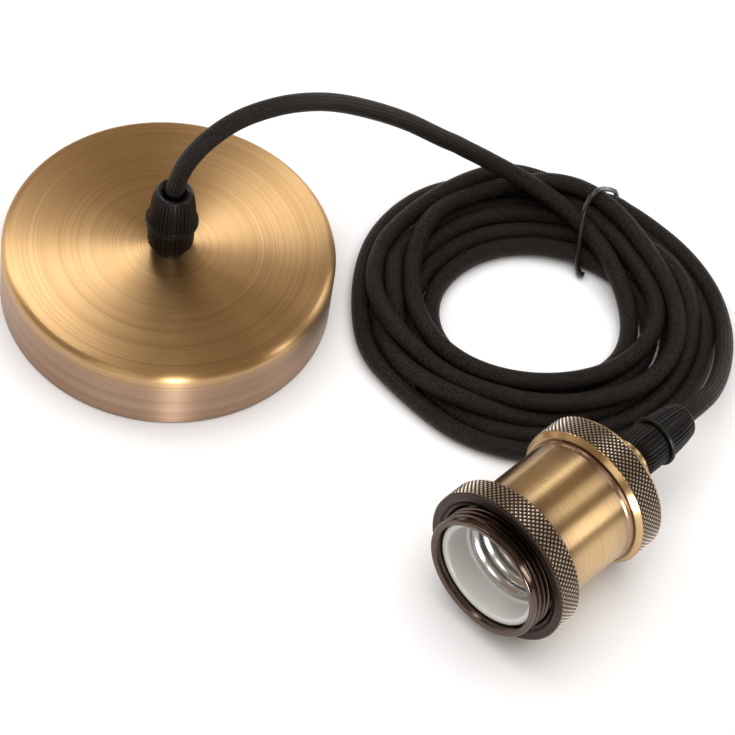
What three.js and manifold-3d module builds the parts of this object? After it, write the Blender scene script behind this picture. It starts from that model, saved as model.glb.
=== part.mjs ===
// A pendant cord set lying loose on a table: a ceiling rose, its textile cord in a tied coil,
// and a turned screw lamp holder. Millimetres, +Z up, everything stands on z = 0.
import * as THREE from 'three';
import { mergeVertices } from 'three/addons/utils/BufferGeometryUtils.js';
import Module from 'manifold-3d';

const wasm = await Module();
wasm.setup();

// Clearances: between pieces that touch, and between a thread and its nut
const seatGap = 0.3;
const threadGap = 0.35;

// Small chamfers on turned and moulded edges, and on screws
const edgeBreak = 0.4;
const screwEdge = 0.3;

// Cord, its three cores and the wires stripped from it
const cordRadius = 2.8;
const wireRadius = 0.9;
const wireSpread = 1.5;

// Ceiling rose: a spun cup that stands on its rim
const roseRadius = 50;
const roseHeight = 21.5;
const roseWall = 1.2;
const roseEdgeRadius = 2.6;

// Cord gland, the same one at the rose and at the lamp holder
const shankRadius = 4.9;
const shankLength = 9;
const glandFootRadius = 5.4;
const glandBarrelRadius = 6.85;
const glandFootHeight = 3.2;
const glandBodyHeight = 10.8;
const glandRimRadius = 7.95;
const glandRimHeight = 1.1;
const glandNutHeight = 13.6;
const glandNutRadius = 7.1;
const glandMouthRadius = 5.4;
const glandMouthChamfer = 0.6;
const glandCollarHeight = 4;
const glandCollarWall = 1;
const clampWall = 1.1;
const clampLength = 8;
const clampSlit = 1.2;
const glandRibs = 20;
const glandRibDepth = 0.35;

// Nuts that hold the gland shanks
const locknutAcross = 14;
const locknutHeight = 2.6;
const washerRadius = 7.6;
const washerThickness = 0.8;

// Mounting bar across the cup, with its screws
const barWidth = 14;
const barThickness = 1.5;
const barLegHeight = 11;
const barSlotLength = 7;
const barSlotWidth = 4.4;
const barSlotInset = 9;
const screwRadius = 1.4;
const screwHeadRadius = 2.4;
const screwHeadHeight = 1.6;
const screwSlotWidth = 0.7;
const screwSlotDepth = 0.8;

// Terminal block on the bar
const blockPoles = 3;
const polePitch = 9;
const blockWidth = 15;
const blockHeight = 10;
const blockClearOfShank = 3;
const blockSole = 2;
const tubeRadius = 2.2;
const tubeBore = 1.35;
const tubeLength = 12;
const clampScrewRadius = 1.2;
const clampScrewSpacing = 6.4;
const clampScrewTop = 1.5;
const earthWasherRadius = 3.4;
const blockScrewRadius = 1.2;
const blockScrewHead = 2;

// Lamp holder, measured along its own axis from the front edge of the shade ring's knurl.
// Its radii follow from the lamp thread outwards.
const holderX = 144.8;
const holderY = -12.5;
const shellOuterRadius = 13.4;
const shellThreadDepth = 1.2;
const shellInnerRadius = shellOuterRadius - shellThreadDepth;
const shellWall = 0.4;
const porcelainStep = 0.8;
const porcelainMouthRadius = shellOuterRadius + shellWall + seatGap + porcelainStep;
const porcelainWall = 2;
const skirtWall = 1.9;
const skirtRadius = porcelainMouthRadius + porcelainWall + seatGap + skirtWall;
const shadeRingWall = 4.65;
const shadeRingRadius = skirtRadius + threadGap + shadeRingWall;
const shadeRingWidth = 6.9;
const shadeRingChamfer = 1.1;
const shadeRingFace = 2.6;
const shadeRingBevel = 0.6;
const skirtReach = 6.7;
const skirtLip = 2;
const threadPitch = 1.7;
const threadDepth = 0.8;
const sleeveStep = 0.2;
const sleeveRadius = skirtRadius + sleeveStep;
const sleeveWall = 1.2;
const sleeveLip = 0.5;
const sleeveLipLength = 1.3;
const capRingRise = 2.8;
const capRingRadius = sleeveRadius + capRingRise;
const capRingFront = 37.3;
const capRingWidth = 7.6;
const capRingChamfer = 1.6;
const capWall = 1.4;
const capFloor = 2.1;
const capSpigotLength = 6;
const capNeckRadius = 13;
const capNeckRise = 3;
const bossRadius = 8.1;
const bossStep = 1.4;
const bossBack = 56.8;
const bossLength = 2.2;
const knurlPitch = 3;
const knurlRowHeight = 1.7;
const knurlDepth = 0.45;

// Porcelain insert and what it carries
const porcelainRecess = 2.4;
const porcelainFaceRadius = 1;
const shellFront = 4.6;
const shellPitch = 3.63;
const shellTurns = 5;
const contactWidth = 5;
const contactThickness = 0.5;
const contactRise = 4;
const contactScrewReach = 1.8;
const contactFoot = 4;
const contactTipLength = 2.8;
const contactHook = 1.2;
const terminalOffset = 8;
const terminalSize = 6;
const terminalLength = 5.5;
const earthTagWidth = 4;
const earthTagLength = 8;
const earthTagThickness = 0.6;

// Coil of cord and its tie
const coilX = 82.5;
const coilY = 75.5;
const coilOuterRadius = 55.8;
const coilInnerRadius = 26;
const coilHeight = 12;
const coilCorner = 4.5;
const tieAngle = 103;
const tieRadius = 0.55;
const tieEndSpread = 0.8;
const tieEndHeight = 4;
const grooveGap = 0.5;

// The lead from the rose to the coil, hand-laid, from the top of the rose's gland
const leadRoute = [
  [0.7, 0.1, 51],
  [2.1, 0.9, 58],
  [4.4, 4.4, 66.5],
  [7.3, 13.4, 72],
  [11.1, 29.6, 71],
  [14, 43.9, 65],
  [16.8, 54.6, 58.5],
  [20.1, 65.2, 50.5],
  [24.4, 75.3, 42],
  [29.6, 84.7, 33],
  [35.3, 93.8, 25],
  [41.6, 101.6, 18.8],
  [50.8, 104.4, 15.9],
  [60.7, 105.3, 15.2],
];

// The tail from the coil to the lamp holder, hand-laid, up to the mouth of its gland
const tailRoute = [
  [119.4, 121.9, 3.1],
  [126.2, 115.3, 4.8],
  [131, 109.1, 6.8],
  [135, 103.1, 9],
  [138.5, 96.7, 11.6],
  [141.5, 89.9, 14.4],
  [143.5, 83.4, 17],
  [144.4, 77.6, 18.9],
];

const agedBrass = { color: 0xa9834e, roughness: 0.34, metalness: 1 };
const darkBronze = { color: 0x4f4139, roughness: 0.38, metalness: 1 };
const brightBrass = { color: 0xc9a75c, roughness: 0.35, metalness: 1 };
const zincSteel = { color: 0xb9bcbe, roughness: 0.4, metalness: 1 };
const blackPlastic = { color: 0x151515, roughness: 0.55, metalness: 0 };
const whitePlastic = { color: 0xe9e7e0, roughness: 0.5, metalness: 0 };
const porcelain = { color: 0xdadcd6, roughness: 0.3, metalness: 0 };
const shellSheet = { color: 0xc9cbcb, roughness: 0.3, metalness: 1 };
const blackTextile = { color: 0x101010, roughness: 0.9, metalness: 0 };
const brownWire = { color: 0x6b3d20, roughness: 0.5, metalness: 0 };
const blueWire = { color: 0x2c59a8, roughness: 0.5, metalness: 0 };
const greenWire = { color: 0x6f9a2e, roughness: 0.5, metalness: 0 };

function mesh(name, geometry, finish) {
  const piece = new THREE.Mesh(geometry, new THREE.MeshStandardMaterial(finish));
  piece.name = name;
  return piece;
}

// Points of an arc in a plane, angles in degrees
function arc(x, y, radius, from, to, steps = 4) {
  return Array.from({ length: steps + 1 }, (_, i) => {
    const angle = THREE.MathUtils.degToRad(from + (to - from) * i / steps);
    return [x + radius * Math.cos(angle), y + radius * Math.sin(angle)];
  });
}

// Turns an outline of [radius, height] points, anticlockwise, round the Y axis. An outline that doesn't
// start and end on the axis is closed on itself.
function turned(outline, segments = 34) {
  const points = outline.map(([radius, height]) => new THREE.Vector2(radius, height));
  const last = points[points.length - 1];
  if (points[0].x > 0 || last.x > 0) {
    points.push(points[0].clone());
  }
  return new THREE.LatheGeometry(points, segments);
}

// Pulls every other vertex of the chosen outline points in, as ribs, or in a chequer, as a knurl
function relieved(geometry, rows, depth, chequered = false) {
  const count = geometry.parameters.points.length;
  const position = geometry.attributes.position;
  for (let i = 0; i < position.count; i += 1) {
    const row = rows.indexOf(i % count);
    const column = Math.floor(i / count) + (chequered ? row : 0);
    if (row >= 0 && column % 2 === 1) {
      const radius = Math.hypot(position.getX(i), position.getZ(i));
      const share = (radius - depth) / radius;
      position.setX(i, position.getX(i) * share);
      position.setZ(i, position.getZ(i) * share);
    }
  }
  return geometry;
}

function asSolid(geometry) {
  let bare = geometry.clone();
  bare.deleteAttribute('normal');
  bare.deleteAttribute('uv');
  bare = mergeVertices(bare, 1e-4);
  return new wasm.Manifold(new wasm.Mesh({
    numProp: 3,
    vertProperties: new Float32Array(bare.attributes.position.array),
    triVerts: new Uint32Array(bare.index.array),
  }));
}

function asGeometry(solid) {
  const result = solid.getMesh();
  const geometry = new THREE.BufferGeometry();
  geometry.setAttribute('position', new THREE.BufferAttribute(result.vertProperties, 3));
  geometry.setIndex(new THREE.BufferAttribute(result.triVerts, 1));
  geometry.computeVertexNormals();
  return geometry;
}

function cut(geometry, ...tools) {
  return asGeometry(tools.reduce((solid, tool) => solid.subtract(asSolid(tool)), asSolid(geometry)));
}

function joined(geometry, ...others) {
  return asGeometry(others.reduce((solid, other) => solid.add(asSolid(other)), asSolid(geometry)));
}

// A rod along Y from one height to another
function rod(radius, from, to, segments = 12) {
  return new THREE.CylinderGeometry(radius, radius, to - from, segments).translate(0, (from + to) / 2, 0);
}

function block(width, depth, height, x, y, z) {
  return new THREE.BoxGeometry(width, depth, height).translate(x, y, z);
}

function ring(outer, inner, from, to, segments = 18) {
  return turned([[inner, from], [outer, from], [outer, to], [inner, to]], segments);
}

// A round tube along points in space
function tube(points, radius, sides, steps, curve = 'centripetal') {
  const corners = points.map((point) => new THREE.Vector3(...point));
  const path = new THREE.CatmullRomCurve3(corners, false, curve, 0);
  const section = new THREE.Shape(arc(0, 0, radius, 0, 360, sides).slice(0, -1)
    .map(([x, y]) => new THREE.Vector2(x, y)));
  return new THREE.ExtrudeGeometry(section, { steps, extrudePath: path, bevelEnabled: false });
}

// A flat plate of an outline in the XY plane, from z = 0 up
function plate(outline, thickness) {
  const shape = new THREE.Shape(outline.map(([x, y]) => new THREE.Vector2(x, y)));
  return new THREE.ExtrudeGeometry(shape, { depth: thickness, bevelEnabled: false });
}

// A cheese-head screw along Y: head up from y = 0, shank down
function screw(length, radius = screwRadius, headRadius = screwHeadRadius) {
  const body = turned([
    [0, -length],
    [radius - screwEdge, -length],
    [radius, -length + screwEdge],
    [radius, 0],
    [headRadius, 0],
    [headRadius, screwHeadHeight - screwEdge],
    [headRadius - screwEdge, screwHeadHeight],
    [0, screwHeadHeight],
  ], 12);
  const slotReach = 3 * headRadius;
  const slot = block(slotReach, screwSlotDepth * 2, screwSlotWidth, 0, screwHeadHeight, 0);
  return cut(body, slot);
}

// Derived sizes of the gland
const cordBore = cordRadius + seatGap;
const clampOuter = cordBore + clampWall;
const glandSocket = clampOuter + seatGap;
const glandCollarRadius = glandSocket + glandCollarWall;
const glandNutCavity = glandCollarRadius + threadGap;
const glandNutBase = glandBodyHeight + seatGap;
const glandMouth = glandNutBase + glandNutHeight;
const clampBottom = glandBodyHeight + glandCollarHeight - clampLength;

// Gland body along +Y, its seat at y = 0: shank, ribbed barrel, and a collar inside the nut
function glandBody() {
  const outline = [
    [cordBore, -shankLength],
    [shankRadius, -shankLength],
    [shankRadius, seatGap],
    [glandFootRadius, seatGap],
    [glandFootRadius, seatGap + edgeBreak],
    [glandBarrelRadius, glandFootHeight],
    [glandBarrelRadius, glandBodyHeight - edgeBreak],
    [glandBarrelRadius - edgeBreak, glandBodyHeight],
    [glandCollarRadius, glandBodyHeight],
    [glandCollarRadius, glandBodyHeight + glandCollarHeight],
    [glandSocket, glandBodyHeight + glandCollarHeight],
    [glandSocket, clampBottom - seatGap],
    [cordBore, clampBottom - seatGap],
  ];
  return relieved(turned(outline, 2 * glandRibs), [4, 5, 6], glandRibDepth);
}

// Gland nut: a plain rim, a ribbed cone and a chamfered mouth that the cord comes out of
function glandNut() {
  const shoulder = glandNutBase + glandRimHeight;
  const collarTop = glandBodyHeight + glandCollarHeight + seatGap;
  const outline = [
    [glandNutCavity, glandNutBase],
    [glandRimRadius, glandNutBase],
    [glandRimRadius, shoulder],
    [glandNutRadius, shoulder + edgeBreak],
    [glandMouthRadius, glandMouth - glandMouthChamfer],
    [glandMouthRadius - glandMouthChamfer, glandMouth],
    [cordBore, glandMouth],
    [cordBore, collarTop + glandNutCavity - cordBore],
    [glandNutCavity, collarTop],
  ];
  return relieved(turned(outline, 2 * glandRibs), [3, 4], glandRibDepth);
}

// Clamp inside the gland: a split sleeve round the cord
function glandClamp() {
  const sleeve = ring(clampOuter, cordBore, clampBottom, clampBottom + clampLength, 24);
  const slit = block(clampOuter * 2, clampLength * 2, clampSlit, clampOuter, clampBottom, 0);
  return cut(sleeve, slit);
}

// Hexagon nut on the shank, from the height of its seat downwards
function locknut(seat) {
  const corner = locknutAcross / 2 / Math.cos(Math.PI / 6);
  const body = rod(corner, seat - locknutHeight, seat, 6).rotateY(Math.PI / 6);
  return cut(body, rod(shankRadius + threadGap, seat - 2 * locknutHeight, seat + locknutHeight, 24));
}

// A whole gland with its washer and locknut below a wall; tagRoom is what else the locknut holds
function gland(prefix, wallThickness, tagRoom) {
  const group = new THREE.Group();
  const washerTop = -wallThickness - seatGap;
  const nutSeat = washerTop - washerThickness - tagRoom - seatGap;
  const washer = ring(washerRadius, shankRadius + threadGap, washerTop - washerThickness, washerTop);
  group.add(
    mesh(`${prefix}_gland_body`, glandBody(), blackPlastic),
    mesh(`${prefix}_gland_nut`, glandNut(), blackPlastic),
    mesh(`${prefix}_gland_clamp`, glandClamp(), whitePlastic),
    mesh(`${prefix}_lock_washer`, washer, zincSteel),
    mesh(`${prefix}_locknut`, locknut(nutSeat), zincSteel),
  );
  return group;
}

// The cup: wall, rounded edge and flat top with the hole for the gland's shank
function roseCup() {
  const inner = roseRadius - roseWall;
  const innerEdge = Math.max(roseEdgeRadius - roseWall, 0.2);
  const outline = [
    [inner, 0],
    [roseRadius, 0],
    ...arc(roseRadius - roseEdgeRadius, roseHeight - roseEdgeRadius, roseEdgeRadius, 0, 90, 3),
    [shankRadius + seatGap, roseHeight],
    [shankRadius + seatGap, roseHeight - roseWall],
    ...arc(inner - innerEdge, roseHeight - roseWall - innerEdge, innerEdge, 90, 0, 1),
  ];
  return turned(outline, 64);
}

// Mounting bar: a strap across the cup with two springy legs along its wall and two fixing slots
const barReach = Math.sqrt((roseRadius - roseWall - seatGap) ** 2 - (barWidth / 2) ** 2);
const slotX = barReach - barSlotInset;
const blockLength = blockPoles * polePitch;
const blockX = -(blockLength / 2 + shankRadius + blockClearOfShank);
const blockScrewX = blockX + polePitch / 2;
const earthScrewX = slotX - barSlotLength - screwHeadRadius;

function mountingBar() {
  const outline = [
    [-barReach, 0],
    [barReach, 0],
    [barReach, barLegHeight],
    [barReach - barThickness, barLegHeight],
    [barReach - barThickness, barThickness],
    [-barReach + barThickness, barThickness],
    [-barReach + barThickness, barLegHeight],
    [-barReach, barLegHeight],
  ];
  const strap = plate(outline, barWidth).rotateX(Math.PI / 2).translate(0, barWidth / 2, 0);
  const tools = [];
  for (const side of [-1, 1]) {
    const half = (barSlotLength - barSlotWidth) / 2;
    const slot = [
      ...arc(half, 0, barSlotWidth / 2, -90, 90, 6),
      ...arc(-half, 0, barSlotWidth / 2, 90, 270, 6),
    ];
    tools.push(plate(slot, 3 * barThickness).translate(side * slotX, 0, -barThickness));
  }
  for (const x of [blockScrewX, earthScrewX]) {
    const hole = rod(screwRadius + seatGap, -barThickness, 2 * barThickness).rotateX(Math.PI / 2);
    tools.push(hole.translate(x, 0, 0));
  }
  return cut(strap, ...tools);
}

const blockBase = barThickness + seatGap;
const tubeZ = blockBase + blockSole + tubeRadius - seatGap;

function poleX(pole) {
  return blockX + (pole - (blockPoles - 1) / 2) * polePitch;
}

// Moulded body of the terminal block: a way through for each tube, a well for each clamp screw, and the
// hole between two poles for the screw that holds it to the bar
function terminalBlock() {
  const body = block(blockLength, blockWidth, blockHeight, blockX, 0, blockBase + blockHeight / 2);
  const tools = [];
  for (let pole = 0; pole < blockPoles; pole += 1) {
    tools.push(rod(tubeRadius + seatGap, -blockWidth, blockWidth).translate(poleX(pole), 0, tubeZ));
    for (const side of [-1, 1]) {
      const well = rod(clampScrewRadius + seatGap, 0, blockHeight * 2).rotateX(Math.PI / 2);
      tools.push(well.translate(poleX(pole), side * clampScrewSpacing / 2, tubeZ));
    }
  }
  const hole = rod(blockScrewRadius + seatGap, -blockHeight, 2 * blockHeight).rotateX(Math.PI / 2);
  return cut(body, ...tools, hole.translate(blockScrewX, 0, 0));
}

// Screw that holds the block to the bar, its head on the block's top
function blockScrew() {
  const seat = blockBase + blockHeight + seatGap;
  return screw(seat, blockScrewRadius, blockScrewHead).rotateX(Math.PI / 2).translate(blockScrewX, 0, seat);
}

// Brass tube of one pole, bored for the wires and drilled for its two screws
function terminalTube(pole) {
  const body = rod(tubeRadius, -tubeLength / 2, tubeLength / 2);
  const bore = rod(tubeBore, -tubeLength, tubeLength);
  const holes = [-1, 1].map((side) => {
    const hole = rod(clampScrewRadius + seatGap / 2, 0, tubeRadius * 2).rotateX(Math.PI / 2);
    return hole.translate(0, side * clampScrewSpacing / 2, 0);
  });
  return cut(body, bore, ...holes).translate(poleX(pole), 0, tubeZ);
}

function terminalScrew(pole, side) {
  const top = blockBase + blockHeight - clampScrewTop;
  const foot = tubeZ + wireRadius + seatGap;
  const body = rod(clampScrewRadius, foot, top);
  const slot = block(3 * clampScrewRadius, 2 * screwSlotDepth, screwSlotWidth, 0, top, 0);
  return cut(body, slot).rotateX(Math.PI / 2).translate(poleX(pole), side * clampScrewSpacing / 2, 0);
}

// Wires inside the rose: from the foot of the gland's shank, round in a loop and into the block's tubes.
// Each has its pole, its start round the shank, the side it loops on and how far out it loops,
// as a share of the block's width.
const roseWireLoops = [
  ['rose_wire_live', brownWire, 0, 30, 1, 1.07],
  ['rose_wire_neutral', blueWire, 1, 270, -1, 0.83],
  ['rose_wire_earth', greenWire, 2, 150, 1, 0.77],
];

function roseWire(pole, startAngle, side, loopShare) {
  const loopReach = loopShare * blockWidth;
  const foot = roseHeight - shankLength - seatGap;
  const angle = THREE.MathUtils.degToRad(startAngle);
  const startX = wireSpread * Math.cos(angle);
  const startY = wireSpread * Math.sin(angle);
  const x = poleX(pole);
  const route = [
    [startX, startY, foot],
    [startX, side * loopReach * 0.28, foot - 3.8 * wireRadius],
    [startX + x * 0.12, side * loopReach * 0.72, tubeZ + wireRadius],
    [x * 0.5 + wireRadius, side * loopReach, tubeZ],
    [x + 1.5 * wireRadius, side * (loopReach - wireRadius), tubeZ],
    [x, side * (blockWidth / 2 + wireRadius), tubeZ],
    [x, side * (clampScrewSpacing / 2 - clampScrewRadius), tubeZ],
  ];
  return tube(route, wireRadius, 6, 18);
}

function roseAssembly() {
  const group = new THREE.Group();
  const upright = new THREE.Group();
  upright.rotation.x = Math.PI / 2;
  upright.add(mesh('ceiling_rose', roseCup(), agedBrass));
  const roseGland = gland('rose', roseWall, 0);
  roseGland.position.y = roseHeight;
  upright.add(roseGland);
  group.add(
    upright,
    mesh('mounting_bar', mountingBar(), zincSteel),
    mesh('terminal_block', terminalBlock(), whitePlastic),
    mesh('block_screw', blockScrew(), zincSteel),
  );
  for (let pole = 0; pole < blockPoles; pole += 1) {
    group.add(mesh(`terminal_tube_${pole + 1}`, terminalTube(pole), brightBrass));
    for (const side of [-1, 1]) {
      const name = `terminal_screw_${2 * pole + (side + 1) / 2 + 1}`;
      group.add(mesh(name, terminalScrew(pole, side), zincSteel));
    }
  }
  const washer = ring(earthWasherRadius, screwRadius + seatGap, 0, washerThickness).rotateX(Math.PI / 2);
  const washerZ = barThickness + seatGap;
  const headZ = washerZ + washerThickness + seatGap;
  group.add(mesh('earth_washer', washer.translate(earthScrewX, 0, washerZ), brightBrass));
  const earthScrew = screw(headZ - seatGap).rotateX(Math.PI / 2).translate(earthScrewX, 0, headZ);
  group.add(mesh('earth_screw', earthScrew, brightBrass));
  for (const [name, finish, pole, startAngle, side, loopShare] of roseWireLoops) {
    group.add(mesh(name, roseWire(pole, startAngle, side, loopShare), finish));
  }
  return group;
}

// Rows of a knurled band, two to a diamond
function knurlRows(radius, from, width) {
  const count = Math.round(width / knurlRowHeight);
  return Array.from({ length: count + 1 }, (_, i) => [radius, from + width * i / count]);
}

function knurlSegments(radius) {
  return 2 * Math.round(Math.PI * radius / knurlPitch);
}

function knurled(outlineBefore, rows, outlineAfter, radius) {
  const geometry = turned([...outlineBefore, ...rows, ...outlineAfter], knurlSegments(radius));
  const band = rows.map((_, i) => outlineBefore.length + i).slice(1, -1);
  return relieved(geometry, band, knurlDepth, true);
}

// Shade ring: knurled, with a wide smooth front face, screwed on the skirt's thread
function shadeRing() {
  const bore = skirtRadius + threadGap;
  const before = [
    [bore, shadeRingBevel],
    [bore + shadeRingBevel, 0],
    [shadeRingRadius - shadeRingFace, -shadeRingBevel],
    [shadeRingRadius - edgeBreak, -shadeRingBevel],
  ];
  const after = [
    [shadeRingRadius - shadeRingChamfer, shadeRingWidth + shadeRingChamfer],
    [bore, shadeRingWidth + shadeRingChamfer],
  ];
  return knurled(before, knurlRows(shadeRingRadius, 0, shadeRingWidth), after, shadeRingRadius);
}

const sleeveFront = shadeRingWidth + shadeRingChamfer + seatGap;
const capFront = capRingFront - capRingChamfer;
const sleeveBack = capFront - seatGap;
const skirtBack = sleeveFront + capSpigotLength;
const skirtBore = skirtRadius - skirtWall;
const sleeveBore = sleeveRadius - sleeveWall;

// Skirt: the threaded mouth of the holder, with a plain lip in front and a spigot inside the sleeve behind
function threadedSkirt() {
  const threadStart = -skirtReach + skirtLip;
  const threadEnd = sleeveFront - seatGap - threadPitch;
  const count = Math.floor((threadEnd - threadStart) / threadPitch);
  const thread = [];
  for (let i = 0; i < count; i += 1) {
    const start = threadStart + i * threadPitch;
    thread.push([skirtRadius, start], [skirtRadius - threadDepth, start + threadPitch / 2]);
  }
  const outline = [
    [skirtBore, -skirtReach + edgeBreak],
    [skirtBore + edgeBreak, -skirtReach],
    [skirtRadius - edgeBreak, -skirtReach],
    [skirtRadius, -skirtReach + edgeBreak],
    ...thread,
    [skirtRadius, threadStart + count * threadPitch],
    [skirtRadius, sleeveFront - seatGap],
    [sleeveBore - seatGap, sleeveFront - seatGap],
    [sleeveBore - seatGap, skirtBack],
    [skirtBore, skirtBack],
  ];
  return turned(outline);
}

// Sleeve: a plain brass tube with a small lip at each end
function holderSleeve() {
  const outline = [
    [sleeveBore, sleeveFront],
    [sleeveRadius + sleeveLip, sleeveFront],
    [sleeveRadius + sleeveLip, sleeveFront + sleeveLipLength],
    [sleeveRadius, sleeveFront + sleeveLipLength + edgeBreak],
    [sleeveRadius, sleeveBack - sleeveLipLength - edgeBreak],
    [sleeveRadius + sleeveLip, sleeveBack - sleeveLipLength],
    [sleeveRadius + sleeveLip, sleeveBack],
    [sleeveBore, sleeveBack],
  ];
  return turned(outline);
}

const capBack = capRingFront + capRingWidth + capRingChamfer;
const capBore = sleeveBore - seatGap - capWall;
const bossFront = bossBack - bossLength;

// Cap: a spigot inside the sleeve, a knurled ring, a domed back and a stepped boss for the gland
function holderCap() {
  const hole = shankRadius + seatGap;
  const before = [
    [capBore, capFront - capSpigotLength],
    [sleeveBore - seatGap, capFront - capSpigotLength],
    [sleeveBore - seatGap, capFront],
    [capRingRadius - capRingChamfer, capFront],
  ];
  const after = [
    [capRingRadius - capRingChamfer, capBack],
    [capNeckRadius + capNeckRise, capBack],
    [capNeckRadius, capBack + capNeckRise],
    [bossRadius + bossStep, bossFront - bossStep],
    [bossRadius + bossStep, bossFront],
    [bossRadius, bossFront],
    [bossRadius, bossBack - edgeBreak],
    [bossRadius - edgeBreak, bossBack],
    [hole, bossBack],
    [hole, bossBack - capFloor],
    [bossRadius, bossBack - capFloor],
    [capNeckRadius - capWall, capBack + capNeckRise - capWall],
    [capBore, capBack - 2 * capWall],
  ];
  return knurled(before, knurlRows(capRingRadius, capRingFront, capRingWidth), after, capRingRadius);
}

const porcelainFront = -skirtReach + porcelainRecess;
const porcelainRadius = skirtBore - seatGap;
const porcelainBack = capFront - capSpigotLength - seatGap;
const shellLength = shellTurns * shellPitch;
const shellBack = shellFront + shellLength;
const shellSeat = shellOuterRadius + shellWall + seatGap;
const floorFront = shellBack + seatGap;

// Porcelain insert: a white cup whose mouth shows in front. Its flange is held between the skirt's spigot
// and the cap's.
function porcelainInsert() {
  const faceRadius = porcelainMouthRadius + porcelainFaceRadius;
  const outline = [
    [0, floorFront],
    [shellSeat, floorFront],
    [shellSeat, shellFront - seatGap],
    [porcelainMouthRadius, shellFront - seatGap - edgeBreak],
    ...arc(faceRadius, porcelainFront + porcelainFaceRadius, porcelainFaceRadius, 180, 270, 3),
    [porcelainRadius - edgeBreak, porcelainFront],
    [porcelainRadius, porcelainFront + edgeBreak],
    [porcelainRadius, skirtBack + seatGap],
    [sleeveBore - seatGap, skirtBack + seatGap],
    [sleeveBore - seatGap, porcelainBack],
    [0, porcelainBack],
  ];
  const holes = [-1, 1].map((side) => {
    const hole = rod(screwRadius + seatGap, floorFront - 1, porcelainBack + 1);
    return hole.translate(side * terminalOffset, 0, 0);
  });
  return cut(turned(outline), ...holes);
}

// Screw shell: a rolled thin sheet; its corrugation stands for the lamp thread
function screwShell() {
  const inside = [];
  const stepsPerTurn = 4;
  const mean = (shellInnerRadius + shellOuterRadius) / 2;
  const swing = (shellOuterRadius - shellInnerRadius) / 2;
  for (let i = 0; i <= shellTurns * stepsPerTurn; i += 1) {
    const phase = i / stepsPerTurn;
    inside.push([mean + swing * Math.cos(phase * 2 * Math.PI), shellFront + phase * shellPitch]);
  }
  const outside = inside.map(([radius, height]) => [radius + shellWall, height]);
  return turned([...outside, ...inside.reverse()], 18);
}

// Centre contact: a bronze strip screwed to the floor, bent up to spring against the lamp's tip
const contactSeat = floorFront - seatGap;
const contactReach = Math.sqrt((shellInnerRadius - seatGap) ** 2 - (contactWidth / 2) ** 2) - seatGap;

function centreContact() {
  const tip = contactSeat - contactRise;
  const outline = [
    [-contactReach, contactSeat],
    [-contactReach, contactSeat - contactThickness],
    [-contactFoot, contactSeat - contactThickness],
    [0, tip - contactThickness],
    [contactTipLength + contactThickness / 2, tip - contactThickness],
    [contactTipLength + contactHook + contactThickness, tip + contactHook - contactThickness / 2],
    [contactTipLength + contactHook, tip + contactHook],
    [contactTipLength, tip],
    [contactThickness / 2, tip],
    [-contactFoot + contactThickness / 2, contactSeat],
  ];
  return contactStrip(outline, -terminalOffset);
}

// Side contact: an angle on the floor whose leg springs against the inside of the screw shell
function sideContact() {
  const outline = [
    [contactFoot + edgeBreak, contactSeat],
    [contactFoot + edgeBreak, contactSeat - contactThickness],
    [contactReach - contactThickness, contactSeat - contactThickness],
    [contactReach - contactThickness, contactSeat - contactRise],
    [contactReach, contactSeat - contactRise],
    [contactReach, contactSeat],
  ];
  return contactStrip(outline, terminalOffset);
}

function contactStrip(outline, screwX) {
  const strip = plate(outline, contactWidth).translate(0, 0, -contactWidth / 2);
  const hole = rod(screwRadius + seatGap, contactSeat - 2 * contactThickness, contactSeat + 1);
  return cut(strip, hole.translate(screwX, 0, 0));
}

// Screw through a contact and the porcelain's floor into the terminal behind, its head inside the socket
function contactScrew(x) {
  const head = contactSeat - contactThickness - seatGap;
  const length = porcelainBack + seatGap + contactScrewReach - head;
  return screw(length).rotateX(Math.PI).translate(x, head, 0);
}

// Terminal at the back of the porcelain: a brass block on the contact's screw, with a wire hole and a
// screw of its own
const terminalFront = porcelainBack + seatGap;
const terminalBack = terminalFront + terminalLength;
const clampY = terminalFront + terminalLength * 0.65;
const wireHoleZ = -terminalSize * 0.26;

function holderTerminal(x) {
  const body = block(terminalSize, terminalLength, terminalSize, x, (terminalFront + terminalBack) / 2, 0);
  const wireHoleFoot = clampY - 1.8 * wireRadius;
  const wireHole = rod(wireRadius + seatGap, wireHoleFoot, terminalBack + wireRadius)
    .translate(x, 0, wireHoleZ);
  const contactDepth = terminalFront + contactScrewReach + seatGap;
  const contactHole = rod(screwRadius + seatGap / 2, terminalFront - screwRadius, contactDepth);
  const clampHole = rod(clampScrewRadius + seatGap / 2, 0, 2 * terminalSize).rotateX(Math.PI / 2)
    .translate(x, clampY, wireHoleZ);
  return cut(body, wireHole, contactHole.translate(x, 0, 0), clampHole);
}

function holderTerminalScrew(x) {
  const foot = wireHoleZ + wireRadius + seatGap;
  const top = terminalSize / 2 + clampScrewRadius;
  const body = rod(clampScrewRadius, foot, top);
  const slot = block(3 * clampScrewRadius, 2 * screwSlotDepth, screwSlotWidth, 0, top, 0);
  return cut(body, slot).rotateX(Math.PI / 2).translate(x, clampY, 0);
}

// Wires inside the holder: from the foot of the gland's shank to the two terminals and the earth tag
const glandFootY = bossBack - shankLength;
const tagZ = -(locknutAcross / 2 + seatGap);

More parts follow.
